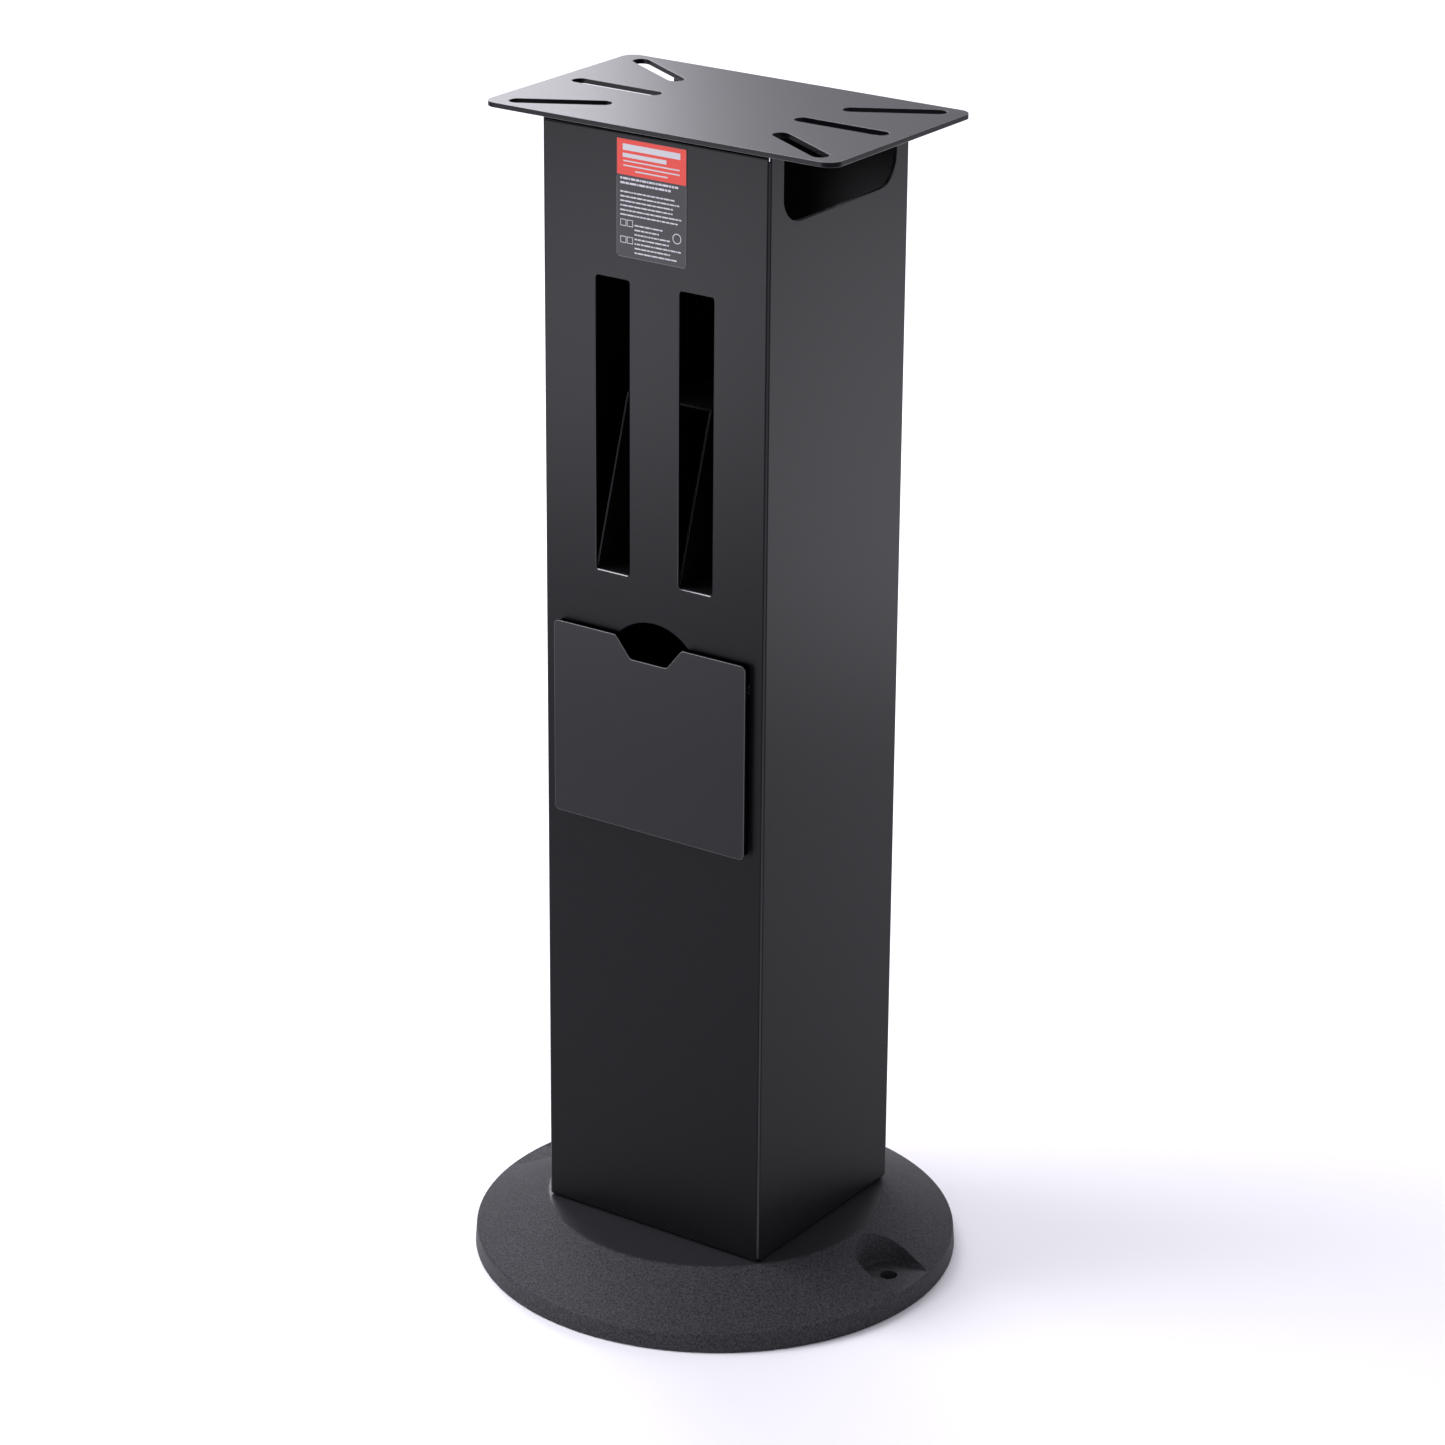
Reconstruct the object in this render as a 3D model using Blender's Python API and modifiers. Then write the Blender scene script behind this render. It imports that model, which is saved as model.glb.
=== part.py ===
"""Pedestal stand for a bench grinder.

A round cast-iron foot carries a folded sheet-steel column.  The column has two tall slots that
hold spare grinding wheels, a drawer below them, and a slotted plate on top for the grinder.

Frame: +Z up, -Y is the front, +X is the right-hand side seen from the front.  The origin is the
centre of the foot, on the floor.  Lengths are in metres.
"""

import math

import bmesh
import bpy
from mathutils import Matrix, Vector

MM = 0.001

# ---------------------------------------------------------------- driving dimensions

GAP = 0.3 * MM                  # between two pieces that touch
OVERRUN = 5.0 * MM              # how far a cutter runs past what it cuts

STAND_HEIGHT = 838.0 * MM       # floor to the plate's upper face

# cast foot
BASE_RADIUS = 173.8 * MM
BASE_HEIGHT = 38.9 * MM
SEAT_RADIUS = 121.3 * MM        # machined seat under the column
RIM_HEIGHT = 14.5 * MM
RIM_DRAFT = 0.8 * MM            # the rim leans in by this much over its height
RIM_EDGE = 2.5 * MM
CASTING_WALL = 8.0 * MM
RIM_WALL = 12.0 * MM
RIB_THICKNESS = 8.0 * MM
RIB_LIFT = 4.0 * MM             # the ribs stop this far above the floor
POCKET_RADIUS = 22.0 * MM
POCKET_DRAFT = 3.5 * MM
ANCHOR_INSET = 23.8 * MM        # rim to the centre of a bolt-down hole
ANCHOR_HOLE = 6.25 * MM         # radius

# column
COLUMN_WIDTH = 182.0 * MM
COLUMN_DEPTH = 165.7 * MM
COLUMN_SETBACK = 4.5 * MM       # column axis behind the foot's centre
SHEET = 2.0 * MM
BEND_INNER = 0.5 * MM           # inside radius of the bends
BOTTOM_FLANGE = 27.0 * MM
TOP_FLANGE = 24.0 * MM
REAR_RETURN = 29.5 * MM
SLIT_WIDTH = 1.0 * MM           # relief slits where two bends meet
SLIT_RELIEF = 1.0 * MM          # slit past the bend

# wheel slots, in the front wall
WHEEL_SLOT_WIDTH = 28.0 * MM
WHEEL_SLOT_HEIGHT = 206.5 * MM
WHEEL_SLOT_PITCH = 68.0 * MM
WHEEL_SLOT_DROP = 104.0 * MM    # plate's upper face to the top of the slots
WHEEL_SLOT_CORNER = 2.0 * MM

# cut-outs at the top of the side walls
CUTOUT_DROP = 52.5 * MM
CUTOUT_POST = 15.9 * MM         # wall left at each corner
CUTOUT_CORNER = 20.0 * MM

# top plate
PLATE_LENGTH = 280.0 * MM
PLATE_OVERHANG = 1.15 * MM      # past the column at the front and at the rear
PLATE_THICKNESS = 3.5 * MM
PLATE_CORNER = 10.0 * MM
PLATE_EDGE = 0.8 * MM
PLATE_SLOT_WIDTH = 12.0 * MM
PLATE_SLOT_INSET_X = 19.5 * MM  # plate edge to the centre of a slot's outer end
PLATE_SLOT_INSET_Y = 14.0 * MM
STRAIGHT_SLOT_LENGTH = 60.0 * MM  # between the centres of its two round ends
SLANTED_SLOT_LENGTH = 57.0 * MM

# wheel rack: two trays behind the slots, joined by a bridge
RACK_SHEET = 1.5 * MM
RACK_HEIGHT = 115.5 * MM        # tray floor to the top of its walls
RACK_LEAD = 36.0 * MM           # the walls' front edges lean back by this much
RACK_REAR_GAP = 20.0 * MM
RACK_TAB = 24.0 * MM            # front tabs on the column's front wall
RACK_TAB_INSET = 1.0 * MM       # tab narrower than its tray at each side

# drawer
DRAWER_DROP = 41.5 * MM         # bottom of the wheel slots to the panel's top edge
PANEL_HEIGHT = 140.4 * MM
PANEL_MARGIN = 11.5 * MM       # column's edge to the panel's edge
PANEL_SHEET = 1.5 * MM
PANEL_STANDOFF = 4.5 * MM
PANEL_CORNER = 4.0 * MM
NOTCH_TOP = 55.0 * MM
NOTCH_BOTTOM = 30.0 * MM
NOTCH_DEPTH = 15.3 * MM
OPENING_LAP = 0.5 * MM          # panel past the opening at the sides and the top
OPENING_LAP_BOTTOM = 1.4 * MM
ARCH_CHORD = 57.4 * MM          # finger arch above the opening
ARCH_RISE = 12.0 * MM
BOX_SHEET = 1.2 * MM
BOX_SIDE_GAP = 6.0 * MM         # opening's edge to the box wall
BOX_FLOOR_GAP = 3.5 * MM        # opening's lower edge to the box floor
BOX_TOP_DROP = 20.0 * MM        # panel's top edge to the box rim
BOX_REAR_GAP = 43.0 * MM        # box rear wall to the column's rear wall
HEM_TAIL_GAP = 18.0 * MM        # end of the hems to the column's rear wall
HEM_THICKNESS = 2.4 * MM
HEM_SIDE_GAP = 0.7 * MM         # opening's edge to the hem
EAR_WIDTH = 15.0 * MM
EAR_INSET = 8.0 * MM            # box wall to the ear
EAR_LAP = 6.5 * MM              # ear above the opening's upper edge
RUNNER_SHEET = 1.2 * MM
RUNNER_LAP = 4.1 * MM           # lip under the hem
RUNNER_HEADROOM = 1.5 * MM
RUNNER_END_GAP = 3.0 * MM

# rear cover
COVER_SHEET = 1.2 * MM
COVER_INSET = 4.0 * MM          # column's edge to the cover's edge
COVER_END_INSET = 6.0 * MM
COVER_CORNER = 5.0 * MM
COVER_SCREWS_PER_SIDE = 4
COVER_SCREW_END = 20.0 * MM     # cover's end to the first screw

# label on the front wall
LABEL_WIDTH = 56.0 * MM
LABEL_HEIGHT = 80.0 * MM
LABEL_OFFSET = -2.0 * MM        # left of the column's middle
LABEL_DROP = 8.0 * MM           # plate's upper face to the label's top edge
LABEL_THICKNESS = 0.3 * MM
LABEL_GAP = 0.1 * MM
LABEL_CORNER = 2.0 * MM

# fasteners
BASE_BOLT_RADIUS = 4.0 * MM
BASE_BOLT_FLATS = 13.0 * MM
BASE_BOLT_HEAD = 5.3 * MM
BASE_NUT_HEIGHT = 6.5 * MM
BASE_BOLT_INSET_X = 14.0 * MM   # column's side to the bolt
BASE_BOLT_INSET_Y = 32.0 * MM   # column's front or rear to the bolt
BOLT_BOSS_RADIUS = 13.0 * MM
BOLT_BOSS_HEIGHT = 5.0 * MM
BOLT_END = 3.0 * MM             # thread past the nut
WASHER_RADIUS = 8.4 * MM
WASHER_THICKNESS = 1.6 * MM
STUD_RADIUS = 3.0 * MM
STUD_LENGTH = 18.0 * MM
STUD_NUT_FLATS = 10.0 * MM
STUD_NUT_HEIGHT = 5.0 * MM
STUD_INSET_X = 16.5 * MM
STUD_INSET_Y = 14.5 * MM
SCREW_RADIUS = 2.3 * MM
SCREW_HEAD_RADIUS = 4.5 * MM
SCREW_HEAD_HEIGHT = 2.4 * MM
SCREW_LENGTH = 9.0 * MM
HOLE_CLEARANCE = 0.5 * MM       # hole radius past the fastener's radius

ROUND_STEPS = 72                # around the foot
POCKET_STEPS = 32
HOLE_STEPS = 16
ARC_STEPS = 4

# ---------------------------------------------------------------- derived places

HALF_WIDTH = COLUMN_WIDTH / 2
HALF_DEPTH = COLUMN_DEPTH / 2
BEND_RADIUS = SHEET + BEND_INNER
SLIT_HEIGHT = BEND_RADIUS + SLIT_RELIEF
INNER_HALF_WIDTH = HALF_WIDTH - SHEET
INNER_HALF_DEPTH = HALF_DEPTH - SHEET
COLUMN_BOTTOM = BASE_HEIGHT + GAP
PLATE_BOTTOM = STAND_HEIGHT - PLATE_THICKNESS
COLUMN_TOP = PLATE_BOTTOM - GAP
SLOT_TOP = STAND_HEIGHT - WHEEL_SLOT_DROP
SLOT_BOTTOM = SLOT_TOP - WHEEL_SLOT_HEIGHT
PANEL_TOP = SLOT_BOTTOM - DRAWER_DROP
PANEL_BOTTOM = PANEL_TOP - PANEL_HEIGHT
PANEL_HALF_WIDTH = HALF_WIDTH - PANEL_MARGIN
PANEL_BACK = -HALF_DEPTH - PANEL_STANDOFF
OPENING_HALF_WIDTH = PANEL_HALF_WIDTH - OPENING_LAP
OPENING_TOP = PANEL_TOP - OPENING_LAP
OPENING_BOTTOM = PANEL_BOTTOM + OPENING_LAP_BOTTOM
BOX_HALF_WIDTH = OPENING_HALF_WIDTH - BOX_SIDE_GAP
BOX_BOTTOM = OPENING_BOTTOM + BOX_FLOOR_GAP
BOX_TOP = PANEL_TOP - BOX_TOP_DROP
BOX_FRONT = PANEL_BACK + GAP
BOX_REAR = INNER_HALF_DEPTH - BOX_REAR_GAP
HEM_HALF_WIDTH = OPENING_HALF_WIDTH - HEM_SIDE_GAP
COVER_SCREW_X = HALF_WIDTH - REAR_RETURN / 2


# ---------------------------------------------------------------- helpers

def new_collection(name):
    """Make a collection in the scene."""
    collection = bpy.data.collections.new(name)
    bpy.context.scene.collection.children.link(collection)
    return collection


def new_material(name, colour, roughness, metallic=0.0):
    """Make a plain Principled material."""
    material = bpy.data.materials.new(name)
    material.use_nodes = True
    shader = material.node_tree.nodes["Principled BSDF"]
    shader.inputs["Base Color"].default_value = (*colour, 1.0)
    shader.inputs["Roughness"].default_value = roughness
    shader.inputs["Metallic"].default_value = metallic
    return material


def new_axis(name, location):
    """Add an empty that carries the pieces built about one axis."""
    empty = bpy.data.objects.new(name, None)
    empty.location = location
    bpy.context.scene.collection.objects.link(empty)
    return empty


def new_piece(name, mesh, collection, material=None, parent=None, location=(0.0, 0.0, 0.0)):
    """Put a mesh in the scene as a named object."""
    piece = bpy.data.objects.new(name, mesh)
    piece.location = location
    piece.parent = parent
    collection.objects.link(piece)
    if material is not None and not mesh.materials:
        mesh.materials.append(material)
    return piece


def mesh_from(name, bm):
    """Turn a bmesh into a mesh."""
    mesh = bpy.data.meshes.new(name)
    bm.to_mesh(mesh)
    bm.free()
    return mesh


def new_cutter(name, bm, parent=None):
    """Add a tool object for a Boolean, which isn't part of the stand."""
    cutter = new_piece(name, mesh_from(name, bm), CUTTERS, parent=parent)
    cutter.hide_render = True
    cutter.display_type = "WIRE"
    return cutter


def combine(piece, tool, operation="DIFFERENCE"):
    """Cut a tool from a piece, or join the two."""
    boolean = piece.modifiers.new(tool.name, "BOOLEAN")
    boolean.operation = operation
    boolean.solver = "EXACT"
    boolean.object = tool


def add_box(bm, low, high):
    """Add a box between two corners and return its vertices."""
    low, high = Vector(low), Vector(high)
    place = Matrix.Translation((low + high) / 2) @ Matrix.Diagonal((*(high - low), 1.0))
    return bmesh.ops.create_cube(bm, size=1.0, matrix=place)["verts"]


def add_cylinder(bm, radius, start, end, steps=HOLE_STEPS, end_radius=None):
    """Add a cylinder or a cone between two points."""
    start, end = Vector(start), Vector(end)
    turn = (end - start).to_track_quat("Z", "Y").to_matrix().to_4x4()
    bmesh.ops.create_cone(
        bm, cap_ends=True, segments=steps, radius1=radius,
        radius2=radius if end_radius is None else end_radius,
        depth=(end - start).length, matrix=Matrix.Translation((start + end) / 2) @ turn)


def round_edges(bm, verts, axis, radius, steps=ARC_STEPS, lower_only=False):
    """Round the edges of a box that run along one axis (0, 1 or 2)."""
    edges = set()
    for vert in verts:
        for edge in vert.link_edges:
            along = (edge.verts[1].co - edge.verts[0].co).normalized()
            if abs(along[axis]) > 0.999:
                edges.add(edge)
    if lower_only:
        middle = sum((vert.co.z for vert in verts), 0.0) / len(verts)
        edges = {edge for edge in edges if edge.verts[0].co.z < middle}
    bmesh.ops.bevel(bm, geom=list(edges), offset=radius, segments=steps, profile=0.5,
                    affect="EDGES")


def add_rounded_box(bm, low, high, axis, radius, steps=ARC_STEPS, lower_only=False):
    """Add a box whose edges along one axis are rounded."""
    round_edges(bm, add_box(bm, low, high), axis, radius, steps, lower_only)


def arc(centre, radius, start, end, steps):
    """Points of an arc in a turned profile, from one angle to another in degrees."""
    points = []
    for step in range(steps + 1):
        angle = math.radians(start + (end - start) * step / steps)
        points.append((centre[0] + radius * math.cos(angle),
                       centre[1] + radius * math.sin(angle)))
    return points


def turned(name, profile, steps, collection, material=None, parent=None):
    """Turn a profile of (radius, height) points about Z, from the top down its outer side."""
    mesh = bpy.data.meshes.new(name)
    edges = [(index, index + 1) for index in range(len(profile) - 1)]
    mesh.from_pydata([(radius, 0.0, height) for radius, height in profile], edges, [])
    piece = new_piece(name, mesh, collection, material, parent)
    screw = piece.modifiers.new("turn", "SCREW")
    screw.axis = "Z"
    screw.steps = steps
    screw.render_steps = steps
    screw.use_merge_vertices = True
    screw.merge_threshold = 0.00001
    flatten = piece.modifiers.new("one_face_per_flat", "DECIMATE")
    flatten.decimate_type = "DISSOLVE"
    flatten.angle_limit = math.radians(0.5)
    return piece


def finished_mesh(piece):
    """Return the mesh of a piece with its modifiers applied, and remove the piece."""
    bpy.context.view_layer.update()
    mesh = bpy.data.meshes.new_from_object(
        piece.evaluated_get(bpy.context.evaluated_depsgraph_get()))
    mesh.name = piece.name
    bpy.data.objects.remove(piece, do_unlink=True)
    return mesh


def folded_strip(name, outline, start, end, thickness, collection, material, parent):
    """Fold a strip of sheet along an outline of (x, z) points, running from start to end in y."""
    bm = bmesh.new()
    front = [bm.verts.new((x, start, z)) for x, z in outline]
    edges = [bm.edges.new(pair) for pair in zip(front, front[1:])]
    swept = bmesh.ops.extrude_edge_only(bm, edges=edges)["geom"]
    moved = [item for item in swept if isinstance(item, bmesh.types.BMVert)]
    bmesh.ops.translate(bm, vec=(0.0, end - start, 0.0), verts=moved)
    piece = new_piece(name, mesh_from(name, bm), collection, material, parent)
    solidify = piece.modifiers.new("sheet", "SOLIDIFY")
    solidify.thickness = thickness
    solidify.offset = 1.0
    solidify.use_even_offset = True
    return piece


# ---------------------------------------------------------------- cast foot

def corner_places(inset_x, inset_y):
    """Four places that keep the same distance from the column's sides."""
    across = HALF_WIDTH - inset_x
    along = HALF_DEPTH - inset_y
    return [(-across, -along), (across, -along), (-across, along), (across, along)]


def pocket_cutter():
    """A drafted pocket with a round inner end, open to the rim, at each end of X."""
    anchor = BASE_RADIUS - ANCHOR_INSET
    height = BASE_HEIGHT - RIM_HEIGHT + OVERRUN
    slope = POCKET_DRAFT / (BASE_HEIGHT - RIM_HEIGHT)
    bm = bmesh.new()
    for side in (-1, 1):
        add_cylinder(bm, POCKET_RADIUS, (side * anchor, 0.0, RIM_HEIGHT),
                     (side * anchor, 0.0, RIM_HEIGHT + height), steps=POCKET_STEPS,
                     end_radius=POCKET_RADIUS + slope * height)
    for side in (-1, 1):
        near = [face for face in bm.faces if face.calc_center_median().x * side > 0]
        edges = {edge for face in near for edge in face.edges}
        verts = {vert for face in near for vert in face.verts}
        split = bmesh.ops.bisect_plane(
            bm, geom=near + list(edges) + list(verts), plane_co=(side * anchor, 0.0, 0.0),
            plane_no=(side, 0.0, 0.0), clear_outer=True)["geom_cut"]
        rim = [item for item in split if isinstance(item, bmesh.types.BMEdge)]
        swept = bmesh.ops.extrude_edge_only(bm, edges=rim)["geom"]
        moved = [item for item in swept if isinstance(item, bmesh.types.BMVert)]
        bmesh.ops.translate(bm, vec=(side * (ANCHOR_INSET + OVERRUN), 0.0, 0.0), verts=moved)
        bmesh.ops.holes_fill(bm, edges=[edge for edge in bm.edges if edge.is_boundary])
    bmesh.ops.recalc_face_normals(bm, faces=bm.faces)
    return new_cutter("cut_pockets", bm)


def underside_core():
    """The hollow under the foot, less its ribs and its bosses."""
    slope = (BASE_HEIGHT - RIM_HEIGHT) / (BASE_RADIUS - RIM_DRAFT - SEAT_RADIUS)
    drop = CASTING_WALL * math.sqrt(1 + slope * slope)
    roof = BASE_HEIGHT - CASTING_WALL
    shoulder = SEAT_RADIUS - (drop - CASTING_WALL) / slope
    outer = BASE_RADIUS - RIM_WALL
    core = turned("cut_core", [
        (0.0, roof), (shoulder, roof),
        (outer - RIM_DRAFT, roof - slope * (outer - RIM_DRAFT - shoulder)),
        (outer, -OVERRUN), (0.0, -OVERRUN)], ROUND_STEPS, CUTTERS)
    core.hide_render = True
    core.display_type = "WIRE"
    half = RIB_THICKNESS / 2
    ribs = {"web_rib_x": ((-BASE_RADIUS, -half, RIB_LIFT), (BASE_RADIUS, half, BASE_HEIGHT)),
            "web_rib_y": ((-half, -BASE_RADIUS, RIB_LIFT), (half, BASE_RADIUS, BASE_HEIGHT))}
    for name, corners in ribs.items():
        bm = bmesh.new()
        add_box(bm, *corners)
        combine(core, new_cutter(name, bm))
    bm = bmesh.new()
    for side in (-1, 1):
        place = side * (BASE_RADIUS - ANCHOR_INSET)
        add_cylinder(bm, POCKET_RADIUS + POCKET_DRAFT + CASTING_WALL,
                     (place, 0.0, -2 * OVERRUN), (place, 0.0, BASE_HEIGHT), steps=ROUND_STEPS // 2)
    combine(core, new_cutter("web_anchor_bosses", bm))
    bm = bmesh.new()
    for x, y in corner_places(BASE_BOLT_INSET_X, BASE_BOLT_INSET_Y):
        place = (x, y + COLUMN_SETBACK)
        add_cylinder(bm, BOLT_BOSS_RADIUS, (*place, roof - BOLT_BOSS_HEIGHT),
                     (*place, BASE_HEIGHT))
    combine(core, new_cutter("web_bolt_bosses", bm))
    return core


def build_base(cast_iron):
    """The foot: a coned iron casting with a machined seat and two bolt-down pockets."""
    rim_radius = BASE_RADIUS - RIM_DRAFT
    cone_angle = math.degrees(math.atan2(rim_radius - SEAT_RADIUS, BASE_HEIGHT - RIM_HEIGHT))
    rim_angle = math.degrees(math.atan2(RIM_DRAFT, RIM_HEIGHT))
    profile = [(0.0, BASE_HEIGHT), (SEAT_RADIUS, BASE_HEIGHT)]
    profile += arc((rim_radius - RIM_EDGE, RIM_HEIGHT - RIM_EDGE), RIM_EDGE, cone_angle,
                   rim_angle, 3)
    profile += [(BASE_RADIUS, 0.0), (0.0, 0.0)]
    base = turned("base_casting", profile, ROUND_STEPS, STAND, cast_iron)
    combine(base, underside_core())
    combine(base, pocket_cutter())
    bm = bmesh.new()
    for side in (-1, 1):
        place = side * (BASE_RADIUS - ANCHOR_INSET)
        add_cylinder(bm, ANCHOR_HOLE, (place, 0.0, -OVERRUN), (place, 0.0, BASE_HEIGHT))
    for x, y in corner_places(BASE_BOLT_INSET_X, BASE_BOLT_INSET_Y):
        place = (x, y + COLUMN_SETBACK)
        add_cylinder(bm, BASE_BOLT_RADIUS + HOLE_CLEARANCE, (*place, 0.0),
                     (*place, BASE_HEIGHT + OVERRUN))
    combine(base, new_cutter("cut_base_holes", bm))


# ---------------------------------------------------------------- column

def face_towards(bm, direction):
    """The face of a box that looks in a direction."""
    direction = Vector(direction)
    return max(bm.faces, key=lambda face: face.normal.dot(direction))


def column_surface():
    """Outer surface of the folded column, with its flanges and its rear returns."""
    bm = bmesh.new()
    add_box(bm, (-HALF_WIDTH, -HALF_DEPTH, COLUMN_BOTTOM), (HALF_WIDTH, HALF_DEPTH, COLUMN_TOP))
    bm.normal_update()
    bottom = face_towards(bm, (0, 0, -1))
    top = face_towards(bm, (0, 0, 1))
    bmesh.ops.inset_individual(bm, faces=[bottom], thickness=BOTTOM_FLANGE)
    bmesh.ops.inset_individual(bm, faces=[top], thickness=TOP_FLANGE)
    bmesh.ops.delete(bm, geom=[bottom, top], context="FACES")
    side_strips = [face for face in bm.faces
                   if face.normal.z > 0.9 and abs(face.calc_center_median().x) > SHEET]
    bmesh.ops.delete(bm, geom=side_strips, context="FACES")
    return_edge = HALF_WIDTH - REAR_RETURN
    for side in (-1, 1):
        rear = [face for face in bm.faces
                if face.calc_center_median().y > HALF_DEPTH / 2]
        edges = {edge for face in rear for edge in face.edges}
        verts = {vert for face in rear for vert in face.verts}
        bmesh.ops.bisect_plane(bm, geom=rear + list(edges) + list(verts),
                               plane_co=(side * return_edge, 0.0, 0.0), plane_no=(1, 0, 0))
    middle = [face for face in bm.faces
              if face.calc_center_median().y > HALF_DEPTH / 2
              and abs(face.calc_center_median().x) < return_edge]
    bmesh.ops.delete(bm, geom=middle, context="FACES")
    bends = [edge for edge in bm.edges
             if len(edge.link_faces) == 2 and edge.calc_face_angle() > 1.0]
    bmesh.ops.bevel(bm, geom=bends, offset=BEND_RADIUS, segments=3, profile=0.5, affect="EDGES")
    return bm


def column_cutters(axis):
    """Everything that is punched out of the column's sheet."""
    outside = -HALF_DEPTH - OVERRUN
    inside = -HALF_DEPTH + SHEET + OVERRUN
    wheel_slots = bmesh.new()
    for side in (-1, 1):
        middle = side * WHEEL_SLOT_PITCH / 2
        add_rounded_box(wheel_slots, (middle - WHEEL_SLOT_WIDTH / 2, outside, SLOT_BOTTOM),
                        (middle + WHEEL_SLOT_WIDTH / 2, inside, SLOT_TOP), 1, WHEEL_SLOT_CORNER)
    opening = bmesh.new()
    add_rounded_box(opening, (-OPENING_HALF_WIDTH, outside, OPENING_BOTTOM),
                    (OPENING_HALF_WIDTH, inside, OPENING_TOP), 1, PANEL_CORNER)
    arch = bmesh.new()
    arch_radius = ((ARCH_CHORD / 2) ** 2 + ARCH_RISE ** 2) / (2 * ARCH_RISE)
    arch_centre = OPENING_TOP + ARCH_RISE - arch_radius
    add_cylinder(arch, arch_radius, (0.0, outside, arch_centre), (0.0, inside, arch_centre),
                 steps=ROUND_STEPS)
    cutouts = bmesh.new()
    cutout_half = HALF_DEPTH - CUTOUT_POST
    for side in (-1, 1):
        near, far = sorted((side * (HALF_WIDTH - SHEET - BEND_RADIUS),
                            side * (HALF_WIDTH + OVERRUN)))
        add_rounded_box(cutouts, (near, -cutout_half, STAND_HEIGHT - CUTOUT_DROP),
                        (far, cutout_half, STAND_HEIGHT + OVERRUN), 0, CUTOUT_CORNER,
                        steps=6, lower_only=True)
    slits = bmesh.new()
    for low, high, flange in ((COLUMN_BOTTOM - OVERRUN, COLUMN_BOTTOM + SLIT_HEIGHT, BOTTOM_FLANGE),
                              (COLUMN_TOP - SLIT_HEIGHT, COLUMN_TOP + OVERRUN, TOP_FLANGE)):
        for x_side in (-1, 1):
            for y_side in (-1, 1):
                verts = add_box(slits, (-OVERRUN, -SLIT_WIDTH / 2, low),
                                (flange * math.sqrt(2) + OVERRUN, SLIT_WIDTH / 2, high))
                turn = Matrix.Rotation(math.atan2(-y_side, -x_side), 4, "Z")
                place = Matrix.Translation((x_side * HALF_WIDTH, y_side * HALF_DEPTH, 0.0))
                bmesh.ops.transform(slits, matrix=place @ turn, verts=verts)
    holes = bmesh.new()
    for x, y in corner_places(BASE_BOLT_INSET_X, BASE_BOLT_INSET_Y):
        add_cylinder(holes, BASE_BOLT_RADIUS + HOLE_CLEARANCE, (x, y, COLUMN_BOTTOM - OVERRUN),
                     (x, y, COLUMN_BOTTOM + SHEET + OVERRUN))
    for x, y in corner_places(STUD_INSET_X, STUD_INSET_Y):
        add_cylinder(holes, STUD_RADIUS + HOLE_CLEARANCE, (x, y, COLUMN_TOP - SHEET - OVERRUN),
                     (x, y, COLUMN_TOP + OVERRUN))
    for x, z in cover_screw_places():
        add_cylinder(holes, SCREW_RADIUS + HOLE_CLEARANCE,
                     (x, HALF_DEPTH - SHEET - OVERRUN, z), (x, HALF_DEPTH + OVERRUN, z))
    shapes = {"cut_wheel_slots": wheel_slots, "cut_drawer_opening": opening,
              "cut_finger_arch": arch, "cut_side_cutouts": cutouts,
              "cut_corner_slits": slits, "cut_column_holes": holes}
    return [new_cutter(name, bm, axis) for name, bm in shapes.items()]


def build_column(axis, paint):
    """The folded column."""
    column = new_piece("column_shell", mesh_from("column_shell", column_surface()), STAND,
                       paint, axis)
    solidify = column.modifiers.new("sheet", "SOLIDIFY")
    solidify.thickness = SHEET
    solidify.offset = -1.0
    solidify.use_even_offset = True
    for cutter in column_cutters(axis):
        combine(column, cutter)


# ---------------------------------------------------------------- sheet pieces

def cover_ends():
    """Lower and upper end of the rear cover."""
    return COLUMN_BOTTOM + COVER_END_INSET, COLUMN_TOP - COVER_END_INSET


def cover_screw_places():
    """(x, z) of the rear cover's screws, on the middle of the column's rear returns."""
    low, high = cover_ends()
    span = high - low - 2 * COVER_SCREW_END
    places = []
    for side in (-1, 1):
        for index in range(COVER_SCREWS_PER_SIDE):
            height = low + COVER_SCREW_END + span * index / (COVER_SCREWS_PER_SIDE - 1)
            places.append((side * COVER_SCREW_X, height))
    return places


def build_rear_cover(axis, paint):
    """Flat sheet that closes the back of the column."""
    low, high = cover_ends()
    near = HALF_DEPTH + GAP
    half = HALF_WIDTH - COVER_INSET
    bm = bmesh.new()
    add_rounded_box(bm, (-half, near, low), (half, near + COVER_SHEET, high), 1, COVER_CORNER)
    cover = new_piece("rear_cover", mesh_from("rear_cover", bm), STAND, paint, axis)
    bm = bmesh.new()
    for x, z in cover_screw_places():
        add_cylinder(bm, SCREW_RADIUS + HOLE_CLEARANCE, (x, near - OVERRUN, z),
                     (x, near + COVER_SHEET + OVERRUN, z))
    combine(cover, new_cutter("cut_cover_holes", bm, axis))


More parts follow.
